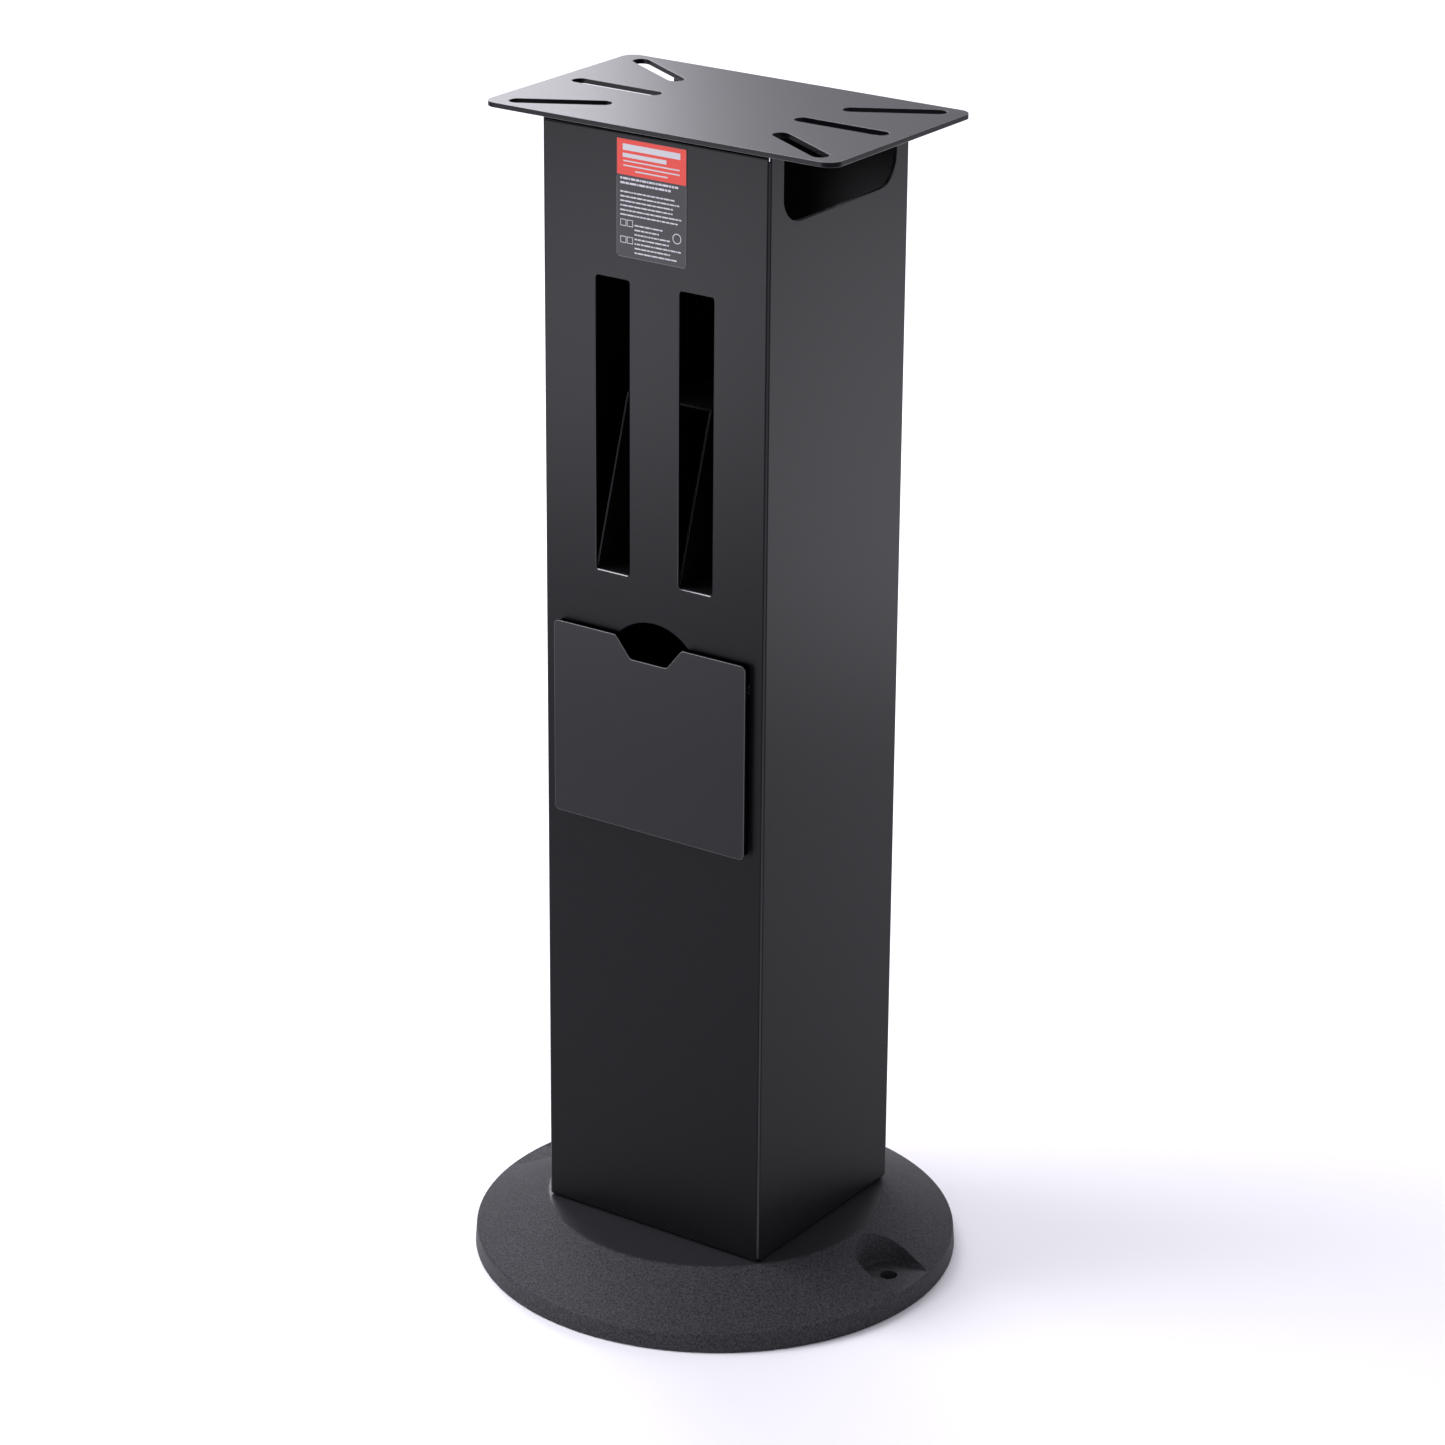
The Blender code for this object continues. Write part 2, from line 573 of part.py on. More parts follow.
def build_top_plate(axis, paint):
    """Slotted plate that carries the grinder."""
    half_length = PLATE_LENGTH / 2
    half_depth = HALF_DEPTH + PLATE_OVERHANG
    bm = bmesh.new()
    add_rounded_box(bm, (-half_length, -half_depth, PLATE_BOTTOM),
                    (half_length, half_depth, STAND_HEIGHT), 2, PLATE_CORNER, steps=6)
    plate = new_piece("top_plate", mesh_from("top_plate", bm), STAND, paint, axis)
    soften = plate.modifiers.new("soft_edges", "BEVEL")
    soften.width = PLATE_EDGE
    soften.segments = 2
    soften.limit_method = "ANGLE"
    soften.angle_limit = math.radians(60)
    end_x = half_length - PLATE_SLOT_INSET_X
    end_y = half_depth - PLATE_SLOT_INSET_Y
    bm = bmesh.new()
    for x_side in (-1, 1):
        ends = {0: (STRAIGHT_SLOT_LENGTH, 0.0), 1: (SLANTED_SLOT_LENGTH, end_y),
                -1: (SLANTED_SLOT_LENGTH, -end_y)}
        for length, y in ends.values():
            outer = Vector((x_side * end_x, y, 0.0))
            reach = length + PLATE_SLOT_WIDTH
            verts = add_box(bm, (-reach / 2, -PLATE_SLOT_WIDTH / 2, PLATE_BOTTOM - OVERRUN),
                            (reach / 2, PLATE_SLOT_WIDTH / 2, STAND_HEIGHT + OVERRUN))
            place = Matrix.Translation(outer - outer.normalized() * length / 2)
            turn = Matrix.Rotation(math.atan2(outer.y, outer.x), 4, "Z")
            bmesh.ops.transform(bm, matrix=place @ turn, verts=verts)
            round_edges(bm, verts, 2, 0.999 * PLATE_SLOT_WIDTH / 2, steps=8)
    combine(plate, new_cutter("cut_plate_slots", bm, axis))


def build_wheel_rack(axis, paint):
    """One sheet folded into a tray behind each slot, with a bridge between the two."""
    front = -INNER_HALF_DEPTH + GAP
    rear = INNER_HALF_DEPTH - RACK_REAR_GAP
    top = SLOT_BOTTOM + RACK_HEIGHT
    outline = []
    for side in (-1, 1):
        near = side * WHEEL_SLOT_PITCH / 2 - WHEEL_SLOT_WIDTH / 2
        far = near + WHEEL_SLOT_WIDTH
        outline += [(near, top), (near, SLOT_BOTTOM), (far, SLOT_BOTTOM), (far, top)]
    rack = folded_strip("wheel_rack", outline, front, rear, RACK_SHEET, STAND, paint, axis)
    bm = bmesh.new()
    verts = add_box(bm, (-HALF_WIDTH, front - RACK_LEAD, SLOT_BOTTOM),
                    (HALF_WIDTH, front, top + OVERRUN))
    slope = RACK_LEAD / RACK_HEIGHT
    for vert in verts:
        if vert.co.y > front - RACK_LEAD / 2:
            vert.co.y += slope * (vert.co.z - SLOT_BOTTOM)
    combine(rack, new_cutter("cut_rack_lead", bm, axis))
    for side, word in ((-1, "left"), (1, "right")):
        middle = side * WHEEL_SLOT_PITCH / 2
        half = WHEEL_SLOT_WIDTH / 2 - RACK_TAB_INSET
        bm = bmesh.new()
        add_box(bm, (middle - half, front, SLOT_BOTTOM - RACK_TAB),
                (middle + half, front + RACK_SHEET, SLOT_BOTTOM - RACK_SHEET / 2))
        combine(rack, new_cutter("add_rack_tab_" + word, bm, axis), "UNION")


def build_label(axis, paper):
    """Thin label on the front wall."""
    near = -HALF_DEPTH - LABEL_GAP
    top = STAND_HEIGHT - LABEL_DROP
    bm = bmesh.new()
    add_rounded_box(bm, (LABEL_OFFSET - LABEL_WIDTH / 2, near - LABEL_THICKNESS,
                         top - LABEL_HEIGHT),
                    (LABEL_OFFSET + LABEL_WIDTH / 2, near, top), 1, LABEL_CORNER, steps=3)
    new_piece("front_label", mesh_from("front_label", bm), STAND, paper, axis)


# ---------------------------------------------------------------- drawer

def build_drawer_front(slide, paint):
    """Flat panel with a finger notch in its upper edge."""
    bm = bmesh.new()
    add_rounded_box(bm, (-PANEL_HALF_WIDTH, PANEL_BACK - PANEL_SHEET, PANEL_BOTTOM),
                    (PANEL_HALF_WIDTH, PANEL_BACK, PANEL_TOP), 1, PANEL_CORNER)
    panel = new_piece("drawer_front", mesh_from("drawer_front", bm), STAND, paint, slide)
    bm = bmesh.new()
    verts = add_box(bm, (-NOTCH_BOTTOM / 2, PANEL_BACK - PANEL_SHEET - OVERRUN,
                         PANEL_TOP - NOTCH_DEPTH),
                    (NOTCH_BOTTOM / 2, PANEL_BACK + OVERRUN, PANEL_TOP + NOTCH_DEPTH))
    for vert in verts:
        if vert.co.z > PANEL_TOP:
            vert.co.x *= (2 * NOTCH_TOP - NOTCH_BOTTOM) / NOTCH_BOTTOM
    combine(panel, new_cutter("cut_finger_notch", bm, slide))


def build_drawer_box(slide, steel):
    """Open tray with a hem along each side, tails on the hems and two stop ears."""
    bm = bmesh.new()
    add_box(bm, (-BOX_HALF_WIDTH, BOX_FRONT, BOX_BOTTOM), (BOX_HALF_WIDTH, BOX_REAR, BOX_TOP))
    bm.normal_update()
    bmesh.ops.delete(bm, geom=[face_towards(bm, (0, 0, 1))], context="FACES_ONLY")
    bends = [edge for edge in bm.edges if len(edge.link_faces) == 2]
    bmesh.ops.bevel(bm, geom=bends, offset=1.5 * BOX_SHEET, segments=2, profile=0.5,
                    affect="EDGES")
    box = new_piece("drawer_box", mesh_from("drawer_box", bm), STAND, steel, slide)
    solidify = box.modifiers.new("sheet", "SOLIDIFY")
    solidify.thickness = BOX_SHEET
    solidify.offset = -1.0
    solidify.use_even_offset = True
    front = -HALF_DEPTH + BOX_SIDE_GAP
    tail = INNER_HALF_DEPTH - HEM_TAIL_GAP
    ear_top = OPENING_TOP + EAR_LAP
    ear_side = BOX_HALF_WIDTH - EAR_INSET
    for side, word in ((-1, "left"), (1, "right")):
        bm = bmesh.new()
        near, far = sorted((side * (BOX_HALF_WIDTH - BOX_SHEET / 2), side * HEM_HALF_WIDTH))
        add_box(bm, (near, front, BOX_TOP - HEM_THICKNESS), (far, tail, BOX_TOP - BOX_SHEET / 2))
        combine(box, new_cutter("add_hem_" + word, bm, slide), "UNION")
        bm = bmesh.new()
        near, far = sorted((side * (ear_side - EAR_WIDTH), side * ear_side))
        add_box(bm, (near, BOX_REAR - 0.9 * BOX_SHEET, BOX_TOP - HEM_THICKNESS),
                (far, BOX_REAR - 0.1 * BOX_SHEET, ear_top))
        combine(box, new_cutter("add_ear_" + word, bm, slide), "UNION")


def build_runners(axis, steel):
    """Two channels on the column's side walls that the drawer's hems slide in."""
    floor = BOX_TOP - HEM_THICKNESS - GAP
    roof = BOX_TOP - BOX_SHEET / 2 + RUNNER_HEADROOM
    wall = INNER_HALF_WIDTH - GAP
    lip = HEM_HALF_WIDTH - RUNNER_LAP
    ends = (-INNER_HALF_DEPTH + RUNNER_END_GAP, INNER_HALF_DEPTH - RUNNER_END_GAP)
    for side, word in ((-1, "left"), (1, "right")):
        bm = bmesh.new()
        near, far = sorted((side * lip, side * wall))
        add_box(bm, (near, ends[0], floor - RUNNER_SHEET), (far, ends[1], roof + RUNNER_SHEET))
        runner = new_piece("drawer_runner_" + word, mesh_from("drawer_runner_" + word, bm),
                           STAND, steel, axis)
        bm = bmesh.new()
        near, far = sorted((side * (lip - OVERRUN), side * (wall - RUNNER_SHEET)))
        add_box(bm, (near, ends[0] - OVERRUN, floor), (far, ends[1] + OVERRUN, roof))
        combine(runner, new_cutter("cut_runner_" + word, bm, axis))


# ---------------------------------------------------------------- fasteners

def hexagon_mesh(name, flats, height, hole=None, shank=None):
    """A hexagon on z = 0 with a hole through it, or with a (radius, length) shank below it."""
    bm = bmesh.new()
    add_cylinder(bm, flats / math.sqrt(3), (0, 0, 0), (0, 0, height), steps=6)
    head = new_piece(name, mesh_from(name, bm), STAND)
    bm = bmesh.new()
    if hole is not None:
        add_cylinder(bm, hole, (0, 0, -OVERRUN), (0, 0, height + OVERRUN))
        tool = new_cutter("cut_" + name, bm)
        combine(head, tool)
    else:
        radius, length = shank
        add_cylinder(bm, radius, (0, 0, height / 2), (0, 0, -length))
        tool = new_cutter("add_" + name, bm)
        combine(head, tool, "UNION")
    mesh = finished_mesh(head)
    bpy.data.objects.remove(tool, do_unlink=True)
    return mesh


def washer_mesh():
    """A flat ring on z = 0."""
    hole = BASE_BOLT_RADIUS + GAP
    profile = [(hole, WASHER_THICKNESS), (WASHER_RADIUS, WASHER_THICKNESS),
               (WASHER_RADIUS, 0.0), (hole, 0.0), (hole, WASHER_THICKNESS)]
    return finished_mesh(turned("washer", profile, HOLE_STEPS, STAND))


def screw_mesh():
    """A round-headed screw with its head above z = 0."""
    profile = [(0.0, SCREW_HEAD_HEIGHT), (0.6 * SCREW_HEAD_RADIUS, SCREW_HEAD_HEIGHT),
               (0.9 * SCREW_HEAD_RADIUS, 0.6 * SCREW_HEAD_HEIGHT), (SCREW_HEAD_RADIUS, 0.0),
               (SCREW_RADIUS, 0.0), (SCREW_RADIUS, -SCREW_LENGTH), (0.0, -SCREW_LENGTH)]
    return finished_mesh(turned("screw", profile, HOLE_STEPS, STAND))


def place_copies(name, mesh, places, axis, material, turn=(0.0, 0.0, 0.0)):
    """Put one shared mesh at several places, numbered from 1."""
    for number, place in enumerate(places, start=1):
        piece = new_piece("%s_%d" % (name, number), mesh, STAND, material, axis, place)
        piece.rotation_euler = turn


def build_base_fasteners(axis, zinc):
    """Bolts, washers and nuts between the column's bottom flanges and the foot."""
    washer_at = COLUMN_BOTTOM + SHEET + GAP
    head_at = washer_at + WASHER_THICKNESS + GAP
    nut_at = BASE_HEIGHT - CASTING_WALL - BOLT_BOSS_HEIGHT - GAP - BASE_NUT_HEIGHT
    places = corner_places(BASE_BOLT_INSET_X, BASE_BOLT_INSET_Y)
    bolt = hexagon_mesh("base_bolt", BASE_BOLT_FLATS, BASE_BOLT_HEAD,
                        shank=(BASE_BOLT_RADIUS, head_at - nut_at + BOLT_END))
    nut = hexagon_mesh("base_nut", BASE_BOLT_FLATS, BASE_NUT_HEIGHT, hole=BASE_BOLT_RADIUS + GAP)
    for name, mesh, height in (("base_bolt", bolt, head_at), ("base_nut", nut, nut_at),
                               ("base_washer", washer_mesh(), washer_at)):
        place_copies(name, mesh, [(x, y, height) for x, y in places], axis, zinc)


def build_plate_fasteners(axis, zinc):
    """Weld studs under the plate, and their nuts below the column's top flanges."""
    bm = bmesh.new()
    add_cylinder(bm, STUD_RADIUS, (0, 0, -STUD_LENGTH), (0, 0, 0))
    stud = mesh_from("plate_stud", bm)
    nut = hexagon_mesh("plate_nut", STUD_NUT_FLATS, STUD_NUT_HEIGHT, hole=STUD_RADIUS + GAP)
    nut_at = COLUMN_TOP - SHEET - GAP - STUD_NUT_HEIGHT
    places = corner_places(STUD_INSET_X, STUD_INSET_Y)
    for name, mesh, height in (("plate_stud", stud, PLATE_BOTTOM - GAP),
                               ("plate_nut", nut, nut_at)):
        place_copies(name, mesh, [(x, y, height) for x, y in places], axis, zinc)


def build_cover_screws(axis, zinc):
    """Screws that hold the rear cover."""
    near = HALF_DEPTH + 2 * GAP + COVER_SHEET
    places = [(x, near, z) for x, z in cover_screw_places()]
    place_copies("cover_screw", screw_mesh(), places, axis, zinc, (math.radians(-90), 0.0, 0.0))


# ---------------------------------------------------------------- the stand

for leftover in list(bpy.data.objects):
    bpy.data.objects.remove(leftover, do_unlink=True)

STAND = new_collection("bench_grinder_stand")
CUTTERS = new_collection("cutters")


def main():
    """Build the whole stand."""
    cast_iron = new_material("textured_black_cast_iron", (0.035, 0.034, 0.038), 0.55)
    paint = new_material("black_powder_coat", (0.035, 0.034, 0.04), 0.4)
    inner_paint = new_material("inner_black_paint", (0.015, 0.015, 0.016), 0.6)
    zinc = new_material("zinc_plated_steel", (0.55, 0.55, 0.56), 0.35, 1.0)
    steel = new_material("galvanised_sheet", (0.3, 0.3, 0.31), 0.5, 0.8)
    paper = new_material("printed_label", (0.05, 0.05, 0.055), 0.5)
    column_axis = new_axis("column_axis", (0.0, COLUMN_SETBACK, 0.0))
    drawer_slide = new_axis("drawer_slide", (0.0, COLUMN_SETBACK, 0.0))
    build_base(cast_iron)
    build_column(column_axis, paint)
    build_rear_cover(column_axis, paint)
    build_top_plate(column_axis, paint)
    build_wheel_rack(column_axis, inner_paint)
    build_label(column_axis, paper)
    build_drawer_front(drawer_slide, paint)
    build_drawer_box(drawer_slide, inner_paint)
    build_runners(column_axis, steel)
    build_base_fasteners(column_axis, zinc)
    build_plate_fasteners(column_axis, zinc)
    build_cover_screws(column_axis, zinc)


main()
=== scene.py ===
"""Pedestal stand for a bench grinder, shaped piece by piece around its CAD frame.

Each operator models one piece, or one group of like pieces, in place and in metres.
+Z is up, -Y is the front and the origin is the centre of the foot on the floor.
"""

import math
import random

import bmesh
import bpy
from bpy.props import FloatProperty, IntProperty, PointerProperty, StringProperty
from mathutils import Matrix, Vector


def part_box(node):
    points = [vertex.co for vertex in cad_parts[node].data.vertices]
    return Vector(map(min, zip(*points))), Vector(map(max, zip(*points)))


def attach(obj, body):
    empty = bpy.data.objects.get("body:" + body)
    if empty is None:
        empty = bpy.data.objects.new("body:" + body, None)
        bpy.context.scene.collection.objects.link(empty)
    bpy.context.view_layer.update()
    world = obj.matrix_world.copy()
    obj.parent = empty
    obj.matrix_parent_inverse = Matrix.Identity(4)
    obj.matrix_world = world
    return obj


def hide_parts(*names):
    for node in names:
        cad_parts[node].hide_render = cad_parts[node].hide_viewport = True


bl_info = {
    "name": "Bench Grinder Stand",
    "version": (1, 0, 0),
    "blender": (4, 2, 0),
    "location": "3D View > Sidebar > Grinder Stand",
    "description": "Builds a bench grinder's pedestal stand with its drawer",
    "category": "Add Mesh",
}

MM = 0.001
CLEAR = 5 * MM                      # how far a cutting tool runs past what it cuts

# the foot's hidden ironwork, which is set out with the column's bolts
CASTING_WALL, RIM_WALL = 8 * MM, 12 * MM
RIB_HALF, RIB_LIFT = 4 * MM, 4 * MM
BOLT_X, BOLT_Y = 77 * MM, 50.85 * MM    # from the column's middle
ANCHOR_BOSS, BOLT_BOSS = 33 * MM, 13 * MM
BOLT_HOLE = 4.5 * MM

# radii of the fasteners and of the holes that pass them
M8_SHANK, M8_HOLE, M6_HOLE = 4 * MM, 4.3 * MM, 3.3 * MM
SCREW_SHANK, SCREW_TIP = 2.3 * MM, 2.1 * MM
WASHER_GAP = 0.3 * MM               # washer to the bolt's head

# depths of the label's layers behind its foremost face, and how far each is sunk in the film
FILM_FRONT, PRINT_BACK = 0.08 * MM, 0.06 * MM
EDGE_FRONT, BAND_FRONT, FRAME_FRONT = 0.05 * MM, 0.04 * MM, 0.02 * MM
SINK = 0.02 * MM

# the studio: tint of the sky and of the lamps, which are named here with their place, the point
# that they look at, their width and height in metres and their power in watts
SKY, LAMP_TINT = (0.97, 0.95, 1.06, 1.0), (1.0, 0.98, 1.06)
SOFTBOXES = (
    ("low front softbox", (-0.63, -0.98, 0.42), (0, 0, 0.8), 0.5, 0.35, 5.2),
    ("low side softbox", (0.63, 0.9, 0.32), (0, 0, 0.7), 0.5, 0.5, 1.8),
    ("high rear softbox", (-1.7, 1.3, 1.6), (0, 0, 0.84), 1.2, 0.8, 20.0),
    ("high front softbox", (-1.2, -0.85, 2.3), (0, 0, 0.3), 1.2, 1.2, 45.0),
    ("backdrop light", (-1.9, 2.9, 3.0), (-1.9, 2.9, 0), 3.0, 3.0, 110.0))

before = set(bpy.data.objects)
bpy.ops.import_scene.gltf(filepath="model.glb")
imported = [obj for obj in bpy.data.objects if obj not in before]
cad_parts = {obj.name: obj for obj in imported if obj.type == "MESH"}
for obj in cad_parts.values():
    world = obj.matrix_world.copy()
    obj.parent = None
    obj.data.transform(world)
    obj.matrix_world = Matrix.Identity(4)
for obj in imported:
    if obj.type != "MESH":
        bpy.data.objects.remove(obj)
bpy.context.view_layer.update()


def node_box(name):
    """Lowest and highest corner of a CAD node."""
    low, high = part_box(name)
    return Vector(low), Vector(high)


FOOT_HIGH = node_box("base_casting")[1]
COLUMN_LOW, COLUMN_HIGH = node_box("column_shell")
PLATE_LOW, PLATE_HIGH = node_box("top_plate")
PANEL_LOW, PANEL_HIGH = node_box("drawer_front")
LABEL_LOW, LABEL_HIGH = node_box("front_label")
COLUMN_MIDDLE = (COLUMN_LOW + COLUMN_HIGH) / 2


# ---------------------------------------------------------------- settings

class FootSettings(bpy.types.PropertyGroup):
    """Sizes and colour of the cast foot."""
    seat_radius: FloatProperty(
        name="Seat Radius", description="Radius of the machined seat under the column",
        default=0.1213, min=0.05, unit="LENGTH")
    rim_height: FloatProperty(
        name="Rim Height", description="Height of the outer band",
        default=0.0145, min=0.005, unit="LENGTH")
    rim_draft: FloatProperty(
        name="Rim Draft", description="How far the outer band leans in over its height",
        default=0.0008, min=0.0, unit="LENGTH")
    edge: FloatProperty(
        name="Rim Edge", description="Radius of the rounded edge between the band and the cone",
        default=0.0025, min=0.0005, unit="LENGTH")
    pocket_radius: FloatProperty(
        name="Pocket Radius", description="Radius of a bolt-down pocket at its floor",
        default=0.021, min=0.01, unit="LENGTH")
    pocket_flare: FloatProperty(
        name="Pocket Flare", description="How much wider a pocket is at its mouth",
        default=0.0055, min=0.0, unit="LENGTH")
    hole_inset: FloatProperty(
        name="Hole Inset", description="From the rim to the centre of a bolt-down hole",
        default=0.0238, min=0.01, unit="LENGTH")
    hole_radius: FloatProperty(
        name="Hole Radius", description="Radius of a bolt-down hole",
        default=0.00625, min=0.002, unit="LENGTH")
    grain: FloatProperty(
        name="Coat Grain", description="Width of one grain of the textured coat",
        default=0.0014, min=0.0003, unit="LENGTH")
    colour: StringProperty(
        name="Coat Colour", description="Colour of the coat's grains, as sRGB hex",
        default="404043")
    dark: StringProperty(
        name="Coat Shade", description="Colour between the coat's grains, as sRGB hex",
        default="252527")


class ColumnSettings(bpy.types.PropertyGroup):
    """Sizes and colour of the folded column and its plate."""
    cut_edge: FloatProperty(
        name="Cut Edge", description="Rounding of the coated edges of the sheet",
        default=0.0005, min=0.0001, unit="LENGTH")
    plate_corner: FloatProperty(
        name="Plate Corner", description="Radius of the plate's corners",
        default=0.010, min=0.001, unit="LENGTH")
    plate_edge: FloatProperty(
        name="Plate Edge", description="Rounding of the plate's upper and lower edges",
        default=0.0009, min=0.0001, unit="LENGTH")
    slot_width: FloatProperty(
        name="Plate Slot Width", description="Width of the plate's slots",
        default=0.012, min=0.004, unit="LENGTH")
    slot_inset_x: FloatProperty(
        name="Slot Inset X", description="Plate's end to the centre of a slot's outer end",
        default=0.0195, min=0.005, unit="LENGTH")
    slot_inset_y: FloatProperty(
        name="Slot Inset Y", description="Plate's side to the centre of a slot's outer end",
        default=0.014, min=0.005, unit="LENGTH")
    straight_slot: FloatProperty(
        name="Straight Slot", description="Between the end centres of a straight slot",
        default=0.060, min=0.01, unit="LENGTH")
    slanted_slot: FloatProperty(
        name="Slanted Slot", description="Between the end centres of a slanted slot",
        default=0.057, min=0.01, unit="LENGTH")
    colour: StringProperty(
        name="Powder Coat Colour", description="Colour of the powder coat, as sRGB hex",
        default="0C0C0F")


class DrawerSettings(bpy.types.PropertyGroup):
    """Sizes of the drawer's front panel."""
    corner: FloatProperty(
        name="Panel Corner", description="Radius of the panel's corners",
        default=0.004, min=0.0005, unit="LENGTH")
    notch_top: FloatProperty(
        name="Notch Top", description="Width of the finger notch at the panel's top edge",
        default=0.055, min=0.01, unit="LENGTH")
    notch_bottom: FloatProperty(
        name="Notch Bottom", description="Width of the finger notch at its lower end",
        default=0.030, min=0.01, unit="LENGTH")
    notch_depth: FloatProperty(
        name="Notch Depth", description="Depth of the finger notch",
        default=0.0153, min=0.001, unit="LENGTH")
    edge: FloatProperty(
        name="Panel Edge", description="Rounding of the panel's coated edges",
        default=0.0004, min=0.0001, unit="LENGTH")


class LabelSettings(bpy.types.PropertyGroup):
    """Layout and colours of the plain label."""
    band: FloatProperty(
        name="Band Height", description="Height of the red band at the top",
        default=0.0245, min=0.0, unit="LENGTH")
    rows: IntProperty(
        name="Rows", description="Rows of short bars that stand for small print",
        default=17, min=0, max=40)
    red: StringProperty(
        name="Band Colour", description="Colour of the band, as sRGB hex", default="C4382C")
    film: StringProperty(
        name="Film Colour", description="Colour of the film, as sRGB hex", default="1B1B1F")
    ink: StringProperty(
        name="Ink Colour", description="Colour of the printed bars, as sRGB hex",
        default="B4B4B8")


class StageSettings(bpy.types.PropertyGroup):
    """Camera and light of the stage."""
    lens: FloatProperty(
        name="Lens", description="Focal length of the camera",
        default=114.02, min=10.0, unit="CAMERA")
    azimuth: FloatProperty(
        name="Azimuth", description="Camera's turn towards +X from straight ahead",
        default=math.radians(34.69), subtype="ANGLE", unit="ROTATION")
    elevation: FloatProperty(
        name="Elevation", description="Camera's height above the level, as an angle",
        default=math.radians(21.61), subtype="ANGLE", unit="ROTATION")
    roll: FloatProperty(
        name="Roll", description="Camera's turn about its own line of sight",
        default=math.radians(0.45), subtype="ANGLE", unit="ROTATION")
    distance: FloatProperty(
        name="Distance", description="Camera to the point that it looks at",
        default=3.1876, min=0.1, unit="LENGTH")
    look_height: FloatProperty(
        name="Look Height", description="Height of the point that the camera looks at",
        default=0.39961, unit="LENGTH")
    floor: StringProperty(
        name="Floor Colour", description="Colour of the floor, as sRGB hex", default="F4F4F5")


# ---------------------------------------------------------------- colour and nodes

def linear(hex_colour):
    """Linear RGBA of an sRGB hex colour."""
    channels = [int(hex_colour[i:i + 2], 16) / 255 for i in (0, 2, 4)]
    return tuple(c / 12.92 if c <= 0.04045 else ((c + 0.055) / 1.055) ** 2.4
                 for c in channels) + (1.0,)


def add_node(material, kind, inputs=None, links=(), **settings):
    """Add a node with its settings, its input values and its (node, output, input) links."""
    node = material.node_tree.nodes.new(kind)
    for name, value in settings.items():
        setattr(node, name, value)
    for name, value in (inputs or {}).items():
        node.inputs[name].default_value = value
    for source, output, name in links:
        material.node_tree.links.new(source.outputs[output], node.inputs[name])
    return node


def new_material(name):
    """A material with an empty node tree, or the one of that name if it is there already."""
    material = bpy.data.materials.get(name)
    if material is not None:
        return material, True
    material = bpy.data.materials.new(name)
    material.use_nodes = True
    material.node_tree.nodes.clear()
    return material, False


def surface(material, shader_inputs, normal=None):
    """Close a material with one Principled shader and its output."""
    links = [(normal, "Normal", "Normal")] if normal else []
    shader = add_node(material, "ShaderNodeBsdfPrincipled", shader_inputs, links)
    add_node(material, "ShaderNodeOutputMaterial", links=[(shader, "BSDF", "Surface")])
    return shader


def plain(name, colour, roughness, level):
    """An even, non-metallic finish of one colour."""
    material, ready = new_material(name)
    if not ready:
        surface(material, {"Base Color": linear(colour), "Roughness": roughness, "IOR": 1.5,
                           "Specular IOR Level": level})
    return material


def powder_coat():
    """Powder coat, sprayed and baked on sheet steel.

    It gives an even, nearly black satin face.  The skin has a faint orange peel about 1.5 mm
    across, which only shows where a bright light grazes it.
    """
    material, ready = new_material("satin black powder coat")
    if not ready:
        place = add_node(material, "ShaderNodeTexCoord")
        peel = add_node(material, "ShaderNodeTexNoise",
                        {"Scale": 1 / (1.5 * MM), "Detail": 1.0, "Roughness": 0.4},
                        [(place, "Object", "Vector")])
        bump = add_node(material, "ShaderNodeBump", {"Strength": 0.12, "Distance": 0.05 * MM},
                        [(peel, "Fac", "Height")])
        surface(material, {
            "Base Color": linear(bpy.context.scene.stand_column.colour), "Roughness": 0.34,
            "IOR": 1.5, "Specular IOR Level": 0.105}, bump)
    return material


def edge_coat_painted_highlight(name="lighter glossy edge coat, painted highlight", level=0.9):
    """Powder coat on cut edges and bends: glossier than the face, and set lighter than it as a
    painted highlight.
    """
    return plain(name, "1C1C20", 0.28, level)


def drawer_coat_painted_light():
    """The drawer front's powder coat, set a little brighter than the column's as painted light: a
    lit copy of the same coat.
    """
    return plain("drawer front coat, lightened as painted light", "121216", 0.36, 0.19)


def rack_coat_painted_shade():
    """Matt coat on the wheel rack, set darker than the outside of the column: painted shade for the
    dim inside of the column.
    """
    return plain("wheel rack coat, darkened as painted shade", "0A0A0C", 0.6, 0.12)


def rack_edge_painted_highlight():
    """Cut edge of the rack's sheet, set lighter than its faces as a painted highlight, so that it
    shows as a thin line.
    """
    return plain("wheel rack edge, painted highlight", "505054", 0.5, 0.5)


def inner_coat_painted_light():
    """The same powder coat on the drawer box, set lighter than the column's as painted light.

    It is dull.
    """
    return plain("drawer box coat, lightened as painted light", "161618", 0.55, 0.3)


